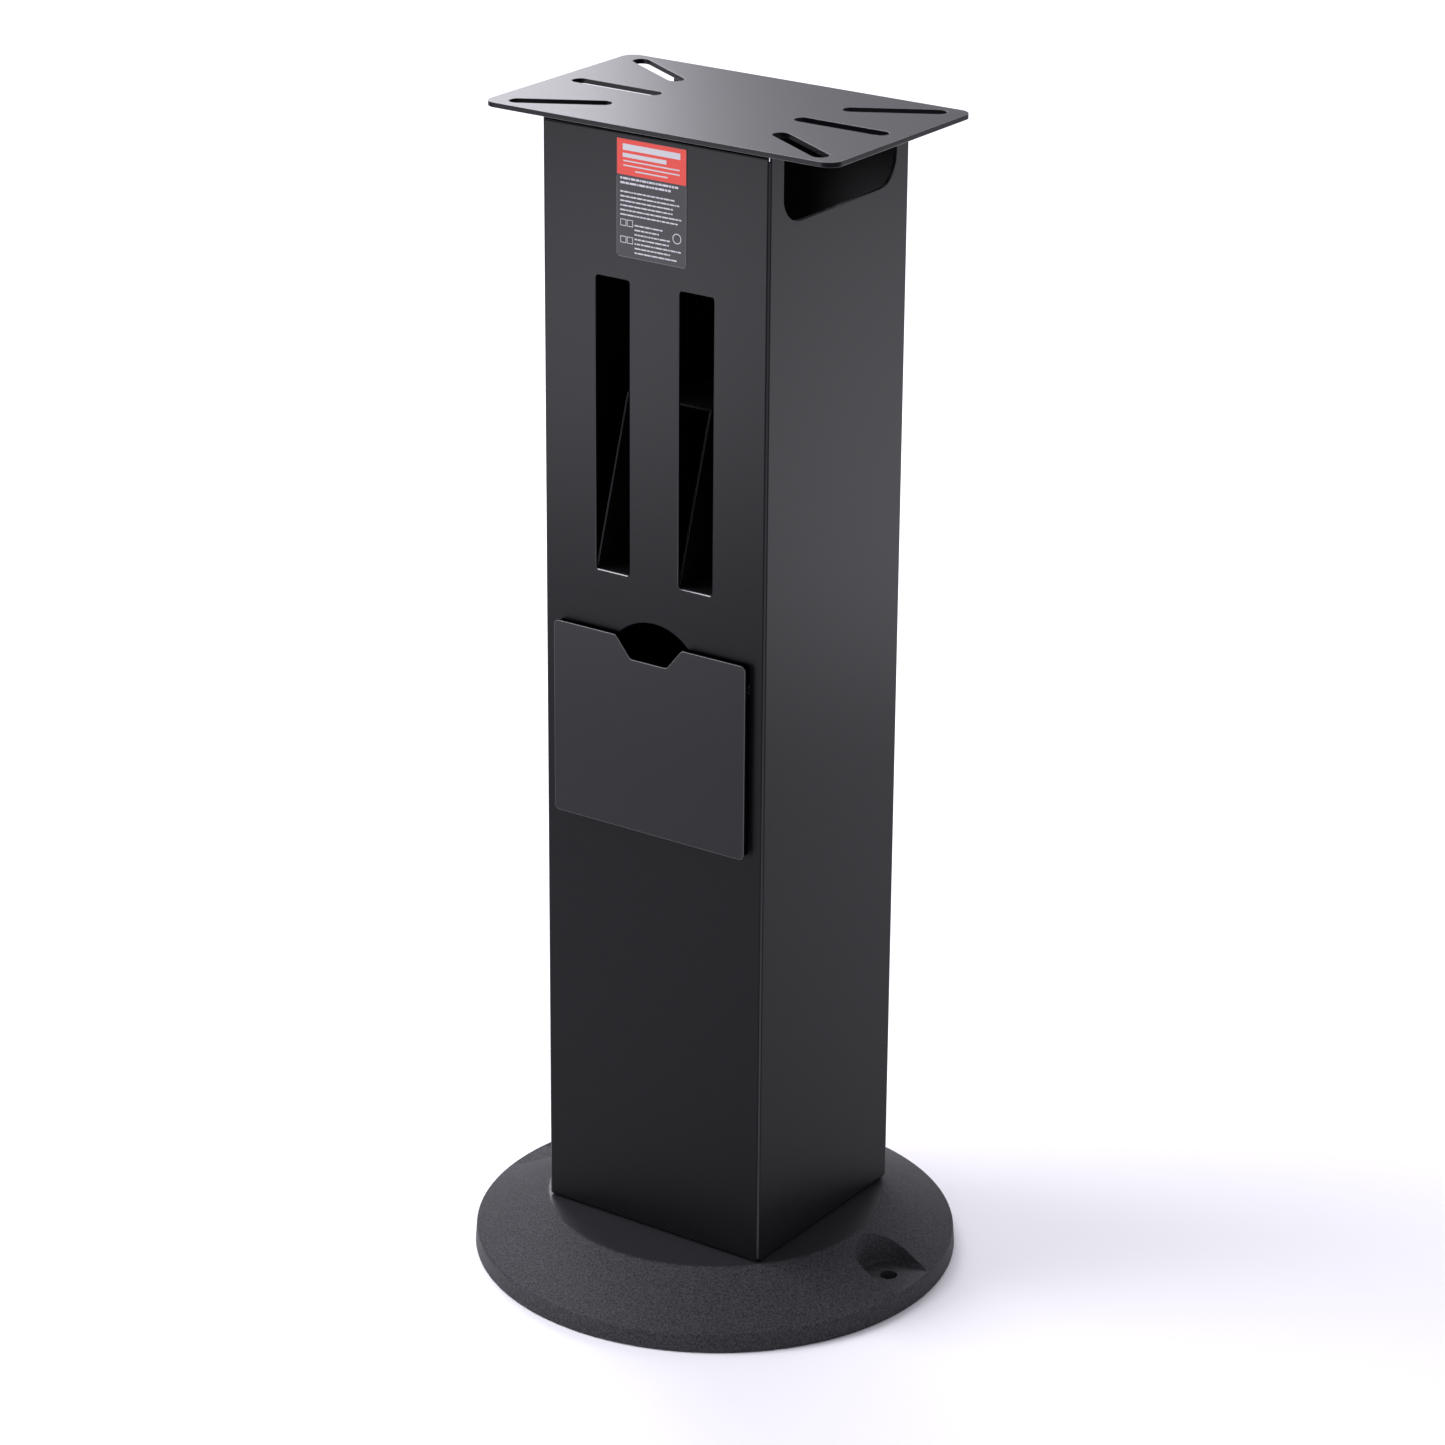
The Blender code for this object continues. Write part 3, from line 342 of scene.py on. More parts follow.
def textured_coat():
    """Textured black coat, sprayed on rough cast iron.

    Its grains catch the light one by one, so that it looks grey and sandy beside the sheet.
    """
    material, ready = new_material("textured black coat on cast iron")
    if not ready:
        foot = bpy.context.scene.stand_foot
        place = add_node(material, "ShaderNodeTexCoord")
        fine = add_node(material, "ShaderNodeTexNoise",
                        {"Scale": 1 / foot.grain, "Detail": 2.0, "Roughness": 0.55},
                        [(place, "Object", "Vector")])
        bump = add_node(material, "ShaderNodeBump", {"Strength": 0.9, "Distance": 0.22 * MM},
                        [(fine, "Fac", "Height")])
        tone = add_node(material, "ShaderNodeValToRGB", links=[(fine, "Fac", "Fac")])
        tone.color_ramp.elements[0].position = 0.34
        tone.color_ramp.elements[1].position = 0.68
        tone.color_ramp.elements[0].color = linear(foot.dark)
        tone.color_ramp.elements[1].color = linear(foot.colour)
        shader = surface(material, {"Roughness": 0.55, "IOR": 1.5,
                                    "Specular IOR Level": 0.13}, bump)
        material.node_tree.links.new(tone.outputs["Color"], shader.inputs["Base Color"])
    return material


def machined_seat_coat():
    """Black paint on the turned seat of the casting: flat, darker and smoother than the rest."""
    return plain("black paint on turned iron", "242427", 0.42, 0.5)


def zinc_plate():
    """Bright zinc plate on cold-formed steel fasteners: light grey metal, slightly blue."""
    material, ready = new_material("zinc plated steel")
    if not ready:
        surface(material, {"Base Color": linear("C3C6CB"), "Metallic": 1.0, "Roughness": 0.32})
    return material


def galvanised_sheet():
    """Hot-dip galvanised sheet: mid grey metal with spangles about 6 mm across."""
    material, ready = new_material("galvanised sheet steel")
    if not ready:
        place = add_node(material, "ShaderNodeTexCoord")
        spangle = add_node(material, "ShaderNodeTexVoronoi", {"Scale": 1 / (6 * MM)},
                           [(place, "Object", "Vector")])
        tone = add_node(material, "ShaderNodeMapRange",
                        {"To Min": 0.36, "To Max": 0.52}, [(spangle, "Distance", "Value")])
        shader = surface(material, {"Base Color": linear("7D8184"), "Metallic": 1.0})
        material.node_tree.links.new(tone.outputs["Result"], shader.inputs["Roughness"])
    return material


def print_film(name, colour, roughness):
    """Printed polyester film, smooth and satin."""
    return plain(name, colour, roughness, 0.25)


# ---------------------------------------------------------------- modelling by hand

def only(obj):
    """Leave one object selected and active, in object mode."""
    if bpy.context.mode != "OBJECT":
        bpy.ops.object.mode_set(mode="OBJECT")
    bpy.ops.object.select_all(action="DESELECT")
    obj.select_set(True)
    bpy.context.view_layer.objects.active = obj


def clear_selection():
    """Leave nothing selected, so that the next primitive is on its own."""
    if bpy.context.mode != "OBJECT":
        bpy.ops.object.mode_set(mode="OBJECT")
    bpy.ops.object.select_all(action="DESELECT")


def named(name):
    """Name the object that an operator has just added, and put its place in its mesh."""
    obj = bpy.context.active_object
    obj.name = name
    obj.data.name = name
    only(obj)
    bpy.ops.object.transform_apply(location=True, rotation=True, scale=True)
    return obj


def add_block(name, low, high):
    """A block from its lowest to its highest corner."""
    low, high = Vector(low), Vector(high)
    clear_selection()
    bpy.ops.mesh.primitive_cube_add(size=1.0, location=(low + high) / 2, scale=high - low)
    return named(name)


def add_rod(name, radius, start, length, axis="Z", steps=32):
    """A rod that starts at a point and runs along +Z or +Y."""
    start = Vector(start)
    turn = {"Z": (0.0, 0.0, 0.0), "Y": (-math.pi / 2, 0.0, 0.0)}[axis]
    along = {"Z": Vector((0, 0, 1)), "Y": Vector((0, 1, 0))}[axis]
    clear_selection()
    bpy.ops.mesh.primitive_cylinder_add(vertices=steps, radius=radius, depth=length,
                                        location=start + along * length / 2, rotation=turn)
    return named(name)


def edit(obj, kind="FACE"):
    """Open edit mode on one object with nothing selected."""
    only(obj)
    bpy.ops.object.mode_set(mode="EDIT")
    bpy.ops.mesh.select_mode(type=kind)
    bpy.ops.mesh.select_all(action="DESELECT")


def choose_faces(obj, test):
    """In edit mode, select the faces whose centre and normal pass a test."""
    bm = bmesh.from_edit_mesh(obj.data)
    for face in bm.faces:
        face.select_set(test(face.calc_center_median(), face.normal))
    bmesh.update_edit_mesh(obj.data)


def choose_edges(obj, test):
    """In edit mode, select the edges whose two ends pass a test."""
    bm = bmesh.from_edit_mesh(obj.data)
    for edge in bm.edges:
        edge.select_set(test(edge.verts[0].co, edge.verts[1].co))
    bmesh.update_edit_mesh(obj.data)


def choose_sharp_edges(obj, test, angle=50.0):
    """In edit mode, select the sharp edges whose two ends pass a test."""
    bm = bmesh.from_edit_mesh(obj.data)
    for edge in bm.edges:
        sharp = edge.is_manifold and edge.calc_face_angle() > math.radians(angle)
        edge.select_set(sharp and test(edge.verts[0].co, edge.verts[1].co))
    bmesh.update_edit_mesh(obj.data)


def close_edit():
    """Back to object mode."""
    bpy.ops.object.mode_set(mode="OBJECT")


def apply_modifier(obj, kind, **settings):
    """Add a modifier with its settings and apply it."""
    only(obj)
    modifier = obj.modifiers.new(kind.title(), kind)
    for name, value in settings.items():
        setattr(modifier, name, value)
    bpy.ops.object.modifier_apply(modifier=modifier.name)


def cut(obj, tool, operation="DIFFERENCE"):
    """Cut a tool out of an object, or weld it on, and put the tool away."""
    apply_modifier(obj, "BOOLEAN", object=tool, operation=operation, solver="EXACT")
    bpy.data.objects.remove(tool, do_unlink=True)


def tidy_mesh(obj):
    """Merge what a cut has doubled and dissolve the flat faces' inner edges."""
    edit(obj, "VERT")
    bpy.ops.mesh.select_all(action="SELECT")
    bpy.ops.mesh.remove_doubles(threshold=0.01 * MM)
    bpy.ops.mesh.dissolve_limited(angle_limit=math.radians(0.3))
    close_edit()


def soften(obj, width, segments=2, angle=35.0, smooth=40.0, coats=()):
    """Round an object's sharp edges and shade it, with its flat faces kept flat.

    With two coats given, the first goes on the faces and the second on the rounded edges.
    """
    for coat in coats:
        obj.data.materials.append(coat)
    if width:
        apply_modifier(obj, "BEVEL", width=width, segments=segments, limit_method="ANGLE",
                       angle_limit=math.radians(angle), miter_outer="MITER_ARC",
                       use_clamp_overlap=True, material=len(coats) - 1)
    only(obj)
    bpy.ops.object.shade_smooth_by_angle(angle=math.radians(smooth))
    apply_modifier(obj, "WEIGHTED_NORMAL", keep_sharp=True, weight=100)


def join(parts, name):
    """Join several objects into one."""
    only(parts[0])
    for part in parts[1:]:
        part.select_set(True)
    bpy.ops.object.join()
    parts[0].name = name
    parts[0].data.name = name
    return parts[0]


def copied(obj, name, shift):
    """A copy with its own mesh, moved."""
    only(obj)
    bpy.ops.object.duplicate(linked=False)
    bpy.context.active_object.location = shift
    return named(name)


def from_frame(node, name):
    """A merged copy of a CAD node, to be worked on as a new piece."""
    clear_selection()
    obj = bpy.data.objects.new(name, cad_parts[node].data.copy())
    bpy.context.scene.collection.objects.link(obj)
    obj.data.materials.clear()
    only(obj)
    if obj.data.has_custom_normals:
        bpy.ops.mesh.customdata_custom_splitnormals_clear()
    tidy_mesh(obj)
    return obj


def place_piece(obj, material, slot, body, *nodes):
    """Give a piece its finish, the body that it moves with and the nodes that it stands for."""
    if not obj.data.materials:
        obj.data.materials.append(material)
    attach(obj, body)
    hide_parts(*nodes)


def lathe(name, profile, steps):
    """A round piece, grown ring by ring from a disc; the profile is (radius, height)."""
    clear_selection()
    radius, height = profile[0]
    bpy.ops.mesh.primitive_circle_add(vertices=steps, radius=radius, fill_type="NGON",
                                      location=(0, 0, height))
    obj = named(name)
    edit(obj)
    bpy.ops.mesh.select_all(action="SELECT")
    for next_radius, next_height in profile[1:]:
        bpy.ops.mesh.extrude_region_move(
            TRANSFORM_OT_translate={"value": (0, 0, next_height - height)})
        scale = next_radius / radius
        bpy.ops.transform.resize(value=(scale, scale, 1.0))
        radius, height = next_radius, next_height
    bpy.ops.mesh.select_all(action="SELECT")
    bpy.ops.mesh.normals_make_consistent(inside=False)
    close_edit()
    return obj


def corner_arc(centre, radius, start, end, steps):
    """Points of an arc, as (radius, height); the angles are in degrees from the +radius side."""
    points = []
    for step in range(steps + 1):
        angle = math.radians(start + (end - start) * step / steps)
        points.append((centre[0] + radius * math.cos(angle),
                       centre[1] + radius * math.sin(angle)))
    return points


# ---------------------------------------------------------------- the cast foot

def foot_pocket(side, foot):
    """A flared pocket with a round inner end, open towards the rim."""
    rim = FOOT_HIGH.x
    place = side * (rim - foot.hole_inset)
    height = FOOT_HIGH.z - foot.rim_height + 3 * MM
    clear_selection()
    bpy.ops.mesh.primitive_cone_add(
        vertices=64, radius1=foot.pocket_radius, radius2=foot.pocket_radius + foot.pocket_flare,
        depth=height, location=(place, 0, foot.rim_height + height / 2))
    tool = named("pocket tool")
    edit(tool, "VERT")
    bpy.ops.mesh.select_all(action="SELECT")
    bpy.ops.mesh.bisect(plane_co=(place, 0, 0), plane_no=(side, 0, 0), use_fill=True,
                        clear_outer=True)
    bpy.ops.mesh.select_mode(type="FACE")
    choose_faces(tool, lambda centre, normal: abs(centre.x - place) < 1e-5
                 and abs(normal.x) > 0.9)
    bpy.ops.mesh.extrude_region_move(
        TRANSFORM_OT_translate={"value": (side * (foot.hole_inset + 5 * MM), 0, 0)})
    bpy.ops.mesh.select_all(action="SELECT")
    bpy.ops.mesh.normals_make_consistent(inside=False)
    close_edit()
    apply_modifier(tool, "BEVEL", width=2.5 * MM, segments=4, limit_method="ANGLE",
                   angle_limit=math.radians(60))
    return tool


class STAND_OT_cast_foot(bpy.types.Operator):
    """Model the round cast foot with its machined seat, pockets, ribs and bosses"""
    bl_idname = "stand.cast_foot"
    bl_label = "Cast Foot"

    def execute(self, context):
        foot = context.scene.stand_foot
        radius, height = FOOT_HIGH.x, FOOT_HIGH.z
        rim = radius - foot.rim_draft
        cone_angle = math.degrees(math.atan2(rim - foot.seat_radius, height - foot.rim_height))
        profile = [(radius - 0.5 * MM, 0.0), (radius, 0.5 * MM)]
        profile += corner_arc((rim - foot.edge, foot.rim_height - foot.edge), foot.edge, 3.0,
                              cone_angle, 6)
        profile += [(foot.seat_radius + 1.2 * MM, height - 0.5 * MM),
                    (foot.seat_radius, height - 0.25 * MM),
                    (foot.seat_radius - 1.0 * MM, height)]
        base = lathe("cast_foot", profile, 192)
        slope = (height - foot.rim_height) / (rim - foot.seat_radius)
        roof = height - CASTING_WALL
        shoulder = foot.seat_radius - CASTING_WALL * 0.25
        inner = radius - RIM_WALL
        core = lathe("core", [(inner, -CLEAR), (inner, 5 * MM),
                              (inner - 1 * MM, roof - slope * (inner - 1 * MM - shoulder)),
                              (shoulder, roof), (10 * MM, roof)], 128)
        for name, low, high in (
                ("rib across", (-radius, -RIB_HALF, RIB_LIFT), (radius, RIB_HALF, height)),
                ("rib along", (-RIB_HALF, -radius, RIB_LIFT), (RIB_HALF, radius, height))):
            cut(core, add_block(name, low, high))
        places = [(x, y) for x in (-BOLT_X, BOLT_X)
                  for y in (COLUMN_MIDDLE.y - BOLT_Y, COLUMN_MIDDLE.y + BOLT_Y)]
        for side in (-1, 1):
            place = side * (radius - foot.hole_inset)
            cut(core, add_rod("boss", ANCHOR_BOSS, (place, 0, -2 * CLEAR), height + 2 * CLEAR,
                              steps=64))
        for x, y in places:
            cut(core, add_rod("boss", BOLT_BOSS, (x, y, roof - CLEAR), 4 * CLEAR, steps=32))
        cut(base, core)
        for side in (-1, 1):
            cut(base, foot_pocket(side, foot))
            place = side * (radius - foot.hole_inset)
            cut(base, add_rod("hole", foot.hole_radius, (place, 0, -CLEAR), height, steps=48))
        for x, y in places:
            cut(base, add_rod("hole", BOLT_HOLE, (x, y, -1 * MM), height + 2 * CLEAR, steps=24))
        tidy_mesh(base)
        soften(base, 1.0 * MM, 3, 28.0, 50.0)
        base.data.materials.append(textured_coat())
        base.data.materials.append(machined_seat_coat())
        for face in base.data.polygons:
            flat = face.normal.z > 0.99 and face.center.z > height - 0.3 * MM
            face.material_index = 1 if flat else 0
        place_piece(base, textured_coat(), "cast_iron", "stand", "base_casting")
        return {"FINISHED"}


# ---------------------------------------------------------------- the column

class STAND_OT_column(bpy.types.Operator):
    """Work the folded column up with coated edges, set lighter and glossier as a painted highlight
    """
    bl_idname = "stand.column"
    bl_label = "Column"

    def execute(self, context):
        column = from_frame("column_shell", "folded_column")
        for coat in (powder_coat(), edge_coat_painted_highlight(), edge_coat_painted_highlight("lighter glossy bend, painted highlight", 0.45)):
            column.data.materials.append(coat)
        # chamfer what is cut through the front and the sides, but not the flanges' edges; the
        # chamfers take the lighter edge coat, a painted highlight
        front, side = COLUMN_LOW.y + 0.05 * MM, COLUMN_HIGH.x - 0.05 * MM
        flange = 6 * MM
        low, high = COLUMN_LOW.z + flange, COLUMN_HIGH.z - flange
        edit(column, "EDGE")
        choose_sharp_edges(column, lambda a, b: low < min(a.z, b.z) and max(a.z, b.z) < high
                           and (max(a.y, b.y) < front or min(abs(a.x), abs(b.x)) > side))
        bpy.ops.mesh.bevel(offset=context.scene.stand_column.cut_edge, segments=1,
                           affect="EDGES", clamp_overlap=False, material=1)
        close_edit()
        soften(column, 0.15 * MM, 1, 50.0, 32.0)
        # painted highlight: the middle of the front right bend, where it faces front right, takes a
        # lighter and glossier coat
        bend = 3 * MM
        for face in column.data.polygons:
            normal, centre = face.normal, face.center
            if (normal.x > 0.5 and normal.y < -0.5 and abs(normal.z) < 0.1
                    and centre.x > COLUMN_HIGH.x - bend and centre.y < COLUMN_LOW.y + bend):
                face.material_index = 2
        place_piece(column, powder_coat(), "powder_coat", "stand", "column_shell")
        return {"FINISHED"}


class STAND_OT_rear_cover(bpy.types.Operator):
    """Work the rear cover up with coated edges"""
    bl_idname = "stand.rear_cover"
    bl_label = "Rear Cover"

    def execute(self, context):
        cover = from_frame("rear_cover", "rear_cover_sheet")
        soften(cover, context.scene.stand_column.cut_edge * 0.7, 2, 50.0, 32.0)
        place_piece(cover, powder_coat(), "powder_coat", "stand", "rear_cover")
        return {"FINISHED"}


def plate_slot(column, outer, length):
    """A round-ended slot that points at the plate's middle."""
    reach, width = length + column.slot_width, column.slot_width
    middle = outer - outer.normalized() * length / 2
    tool = add_block("slot tool", (-reach / 2, -width / 2, PLATE_LOW.z - CLEAR),
                     (reach / 2, width / 2, PLATE_HIGH.z + CLEAR))
    edit(tool, "EDGE")
    choose_edges(tool, lambda a, b: abs(a.z - b.z) > CLEAR)
    bpy.ops.mesh.bevel(offset=0.999 * width / 2, segments=16, profile=0.5, affect="EDGES")
    close_edit()
    tool.rotation_euler = (0, 0, math.atan2(outer.y, outer.x))
    tool.location = (middle.x, middle.y + COLUMN_MIDDLE.y, 0)
    only(tool)
    bpy.ops.object.transform_apply(location=True, rotation=True, scale=True)
    return tool


class STAND_OT_top_plate(bpy.types.Operator):
    """Model the slotted plate that carries the grinder"""
    bl_idname = "stand.top_plate"
    bl_label = "Top Plate"

    def execute(self, context):
        column = context.scene.stand_column
        plate = add_block("slotted_plate", PLATE_LOW, PLATE_HIGH)
        edit(plate, "EDGE")
        choose_edges(plate, lambda a, b: abs(a.z - b.z) > 1 * MM)
        bpy.ops.mesh.bevel(offset=column.plate_corner, segments=12, profile=0.5,
                           affect="EDGES")
        close_edit()
        half = (PLATE_HIGH - PLATE_LOW) / 2
        end = Vector((half.x - column.slot_inset_x, half.y - column.slot_inset_y, 0))
        for side in (-1, 1):
            cut(plate, plate_slot(column, Vector((side * end.x, 0, 0)), column.straight_slot))
            for rear in (-1, 1):
                outer = Vector((side * end.x, rear * end.y, 0))
                cut(plate, plate_slot(column, outer, column.slanted_slot))
        tidy_mesh(plate)
        # the rounded edges take the lighter edge coat, a painted highlight
        soften(plate, column.plate_edge, 3, 50.0, 40.0, (powder_coat(), edge_coat_painted_highlight()))
        place_piece(plate, powder_coat(), "powder_coat", "stand", "top_plate")
        return {"FINISHED"}


class STAND_OT_wheel_rack(bpy.types.Operator):
    """Work up the folded rack that holds the spare wheels"""
    bl_idname = "stand.wheel_rack"
    bl_label = "Wheel Rack"

    def execute(self, context):
        rack = from_frame("wheel_rack", "folded_wheel_rack")
        soften(rack, 0.25 * MM, 2, 50.0, 32.0)
        rack.data.materials.append(rack_coat_painted_shade())
        rack.data.materials.append(rack_edge_painted_highlight())
        # painted highlight: the leaning front faces of the trays take the lighter edge colour; the
        # rest takes the rack coat darkened as painted shade
        for face in rack.data.polygons:
            leaning = face.normal.y < -0.8 and 0.15 < face.normal.z < 0.5
            on_tray = abs(face.center.x) > 18 * MM      # the bridge lies nearer the middle
            face.material_index = 1 if leaning and on_tray else 0
        place_piece(rack, rack_coat_painted_shade(), "inner_paint", "stand", "wheel_rack")
        return {"FINISHED"}


# ---------------------------------------------------------------- the drawer

class STAND_OT_drawer_front(bpy.types.Operator):
    """Model the drawer's front panel with its finger notch"""
    bl_idname = "stand.drawer_front"
    bl_label = "Drawer Front"

    def execute(self, context):
        drawer = context.scene.stand_drawer
        panel = add_block("drawer_front_panel", PANEL_LOW, PANEL_HIGH)
        edit(panel, "EDGE")
        choose_edges(panel, lambda a, b: abs(a.y - b.y) > 1 * MM)
        bpy.ops.mesh.bevel(offset=drawer.corner, segments=8, profile=0.5, affect="EDGES")
        close_edit()
        top = PANEL_HIGH.z
        notch = add_block("notch tool",
                          (-drawer.notch_bottom / 2, PANEL_LOW.y - CLEAR,
                           top - drawer.notch_depth),
                          (drawer.notch_bottom / 2, PANEL_HIGH.y + CLEAR,
                           top + drawer.notch_depth))
        edit(notch)
        choose_faces(notch, lambda centre, normal: normal.z > 0.9)
        wide = (2 * drawer.notch_top - drawer.notch_bottom) / drawer.notch_bottom
        bpy.ops.transform.resize(value=(wide, 1, 1))
        close_edit()
        cut(panel, notch)
        edit(panel, "EDGE")
        choose_edges(panel, lambda a, b: abs(a.y - b.y) > 1 * MM
                     and abs(a.x) < 0.03 and a.z > top - 20 * MM)
        bpy.ops.mesh.bevel(offset=1.5 * MM, segments=5, profile=0.5, affect="EDGES")
        close_edit()
        tidy_mesh(panel)
        # the panel's coat is set lighter than the column's as painted light, and its rounded edges
        # take the lighter edge coat, a painted highlight
        soften(panel, drawer.edge, 2, 50.0, 40.0, (drawer_coat_painted_light(), edge_coat_painted_highlight()))
        place_piece(panel, drawer_coat_painted_light(), "powder_coat", "drawer", "drawer_front")
        return {"FINISHED"}


class STAND_OT_drawer_box(bpy.types.Operator):
    """Work up the drawer's folded box with its hems and stop ears"""
    bl_idname = "stand.drawer_box"
    bl_label = "Drawer Box"

    def execute(self, context):
        box = from_frame("drawer_box", "folded_drawer_box")
        soften(box, 0.25 * MM, 2, 60.0, 40.0)
        # the box takes the powder coat set lighter, as painted light
        place_piece(box, inner_coat_painted_light(), "inner_paint", "drawer", "drawer_box")
        return {"FINISHED"}


class STAND_OT_runners(bpy.types.Operator):
    """Work up the two channels that the drawer slides in"""
    bl_idname = "stand.runners"
    bl_label = "Drawer Runners"

    def execute(self, context):
        for word in ("left", "right"):
            node = "drawer_runner_" + word
            runner = from_frame(node, word + "_drawer_runner")
            soften(runner, 0.3 * MM, 2, 50.0, 32.0)
            place_piece(runner, galvanised_sheet(), "galvanised", "stand", node)
        return {"FINISHED"}


# ---------------------------------------------------------------- the label

def label_bar(parts, low_x, high_x, low_z, high_z, front, back, material):
    """One printed mark of the label, a hair proud of the film."""
    bar = add_block("label mark", (low_x, front, low_z), (high_x, back, high_z))
    bar.data.materials.append(material)
    parts.append(bar)


def label_frame(parts, corner, width, height, line, ground):
    """A printed outline box: a pale block with a smaller dark one on it."""
    front, stroke = corner.y, 0.45 * MM
    label_bar(parts, corner.x, corner.x + width, corner.z, corner.z + height,
              front + FRAME_FRONT, front + PRINT_BACK, line)
    label_bar(parts, corner.x + stroke, corner.x + width - stroke, corner.z + stroke,
              corner.z + height - stroke, front, front + PRINT_BACK, ground)


class STAND_OT_label(bpy.types.Operator):
    """Model the plain label: dark film, red band and rows of bars"""
    bl_idname = "stand.label"
    bl_label = "Label"

    def execute(self, context):
        label = context.scene.stand_label
        low, high = LABEL_LOW, LABEL_HIGH
        face = low.y + FILM_FRONT
        film = add_block("printed_label", (low.x, face, low.z), high)
        edit(film, "EDGE")
        choose_edges(film, lambda a, b: abs(a.y - b.y) > 0.1 * MM)
        bpy.ops.mesh.bevel(offset=1.6 * MM, segments=5, profile=0.5, affect="EDGES")
        close_edit()
        film_coat = print_film("dark print film", label.film, 0.42)
        film.data.materials.append(film_coat)
        red = print_film("red print", label.red, 0.45)
        ink = print_film("pale print", label.ink, 0.5)
        rim = print_film("film edge", "5A5A5F", 0.45)
        parts = [film]
        # a thin pale line round the film, clear of its rounded corners
        edge, inset = 0.35 * MM, 1.7 * MM
        label_bar(parts, low.x + inset, high.x - inset, low.z, low.z + edge,
                  low.y + EDGE_FRONT, face + SINK, rim)
        for x in (low.x, high.x - edge):
            label_bar(parts, x, x + edge, low.z + inset, high.z - label.band - inset,
                      low.y + EDGE_FRONT, face + SINK, rim)
        band_low = high.z - label.band
        label_bar(parts, low.x + 0.4 * MM, high.x - 0.4 * MM, band_low, high.z - 0.6 * MM,
                  low.y + BAND_FRONT, face + SINK, red)
        front, back = low.y, low.y + PRINT_BACK
        middle = (low.x + high.x) / 2
        # bars on the band: left and right of its middle, and above its lower edge, in mm
        marks = [(-23.0, 23.0, 16.6, 20.8), (-23.0, 12.0, 11.8, 14.6), (-22.5, 22.5, 9.0, 9.9),
                 (-22.5, 22.5, 5.9, 6.8), (-13.0, 13.0, 2.8, 3.7)]
        for left, right, bottom, top in marks:
            label_bar(parts, middle + left * MM, middle + right * MM, band_low + bottom * MM,
                      band_low + top * MM, front, back, ink)
        # small print: two tall rows, a paragraph, and indented rows beside the frames and the ring
        draw = random.Random(7)
        pitch = (band_low - low.z - 3 * MM) / label.rows
        blank_rows, tall_rows, indented, beside_ring = (2, 9), 2, 10, range(10, 14)
        word_gap = 0.55 * MM
        for row in range(label.rows):
            if row in blank_rows:
                continue
            top = band_low - 1.6 * MM - row * pitch
            x = low.x + (3.0 if row < indented else 14.5) * MM
            end = high.x - (draw.uniform(3.5, 13.0) + (9.0 if row in beside_ring else 0.0)) * MM
            tall = pitch * (0.46 if row < tall_rows else 0.32)
            while x < end - 1 * MM:
                width = draw.uniform(1.0, 5.5) * MM
                label_bar(parts, x, min(x + width, end), top - tall, top, front, back, ink)
                x += width + word_gap
        for z in (21.0, 9.5):
            for x in (3.0, 8.4):
                label_frame(parts, low + Vector((x, 0, z)) * MM, 4.8 * MM, 4.6 * MM, ink,
                            film_coat)
        spot = Vector((high.x - 7.5 * MM, low.y, low.z + 19.0 * MM))
        for radius, lift, coat in ((3.5 * MM, FRAME_FRONT, ink), (2.9 * MM, 0.0, film_coat)):
            disc = add_rod("round mark", radius, spot + Vector((0, lift, 0)), PRINT_BACK, "Y")
            disc.data.materials.append(coat)
            parts.append(disc)
        whole = join(parts, "printed_label")
        place_piece(whole, ink, "label", "stand", "front_label")
        return {"FINISHED"}


# ---------------------------------------------------------------- fasteners

def hexagon(name, node, height_from=0.0):
    """A hexagon head or nut with sharp corners that fills a CAD node's box."""
    low, high = node_box(node)
    flats = high.y - low.y
    centre = (low + high) / 2
    clear_selection()
    bpy.ops.mesh.primitive_cylinder_add(
        vertices=6, radius=flats / math.sqrt(3), depth=high.z - low.z - height_from,
        location=(centre.x, centre.y, (low.z + height_from + high.z) / 2))
    obj = named(name)
    return obj, centre, flats, low, high


def chamfer_ring(obj, centre, flats, low, high):
    """Turn a hexagon's corners down to a cone at its top."""
    profile = [(flats * 0.62, low), (flats * 0.62, high - 0.09 * flats), (flats * 0.47, high)]
    ring = lathe("chamfer tool", profile, 48)
    ring.location = (centre.x, centre.y, 0)
    only(ring)
    bpy.ops.object.transform_apply(location=True, rotation=True, scale=True)
    cut(obj, ring, "INTERSECT")


def add_nut(name, node, hole):
    """A chamfered nut with its hole, in place."""
    nut, centre, flats, low, high = hexagon(name, node)
    chamfer_ring(nut, centre, flats, low.z, high.z)
    cut(nut, add_rod("hole", hole, (centre.x, centre.y, low.z - 1 * MM), 10 * MM, steps=32))
    finish_fastener(nut, 0.2 * MM, node)


def finish_fastener(obj, edge, node):
    """Take the sharpness off a fastener's edges and put it in place."""
    soften(obj, edge, 2, 40.0, 30.0)
    place_piece(obj, zinc_plate(), "zinc", "stand", node)


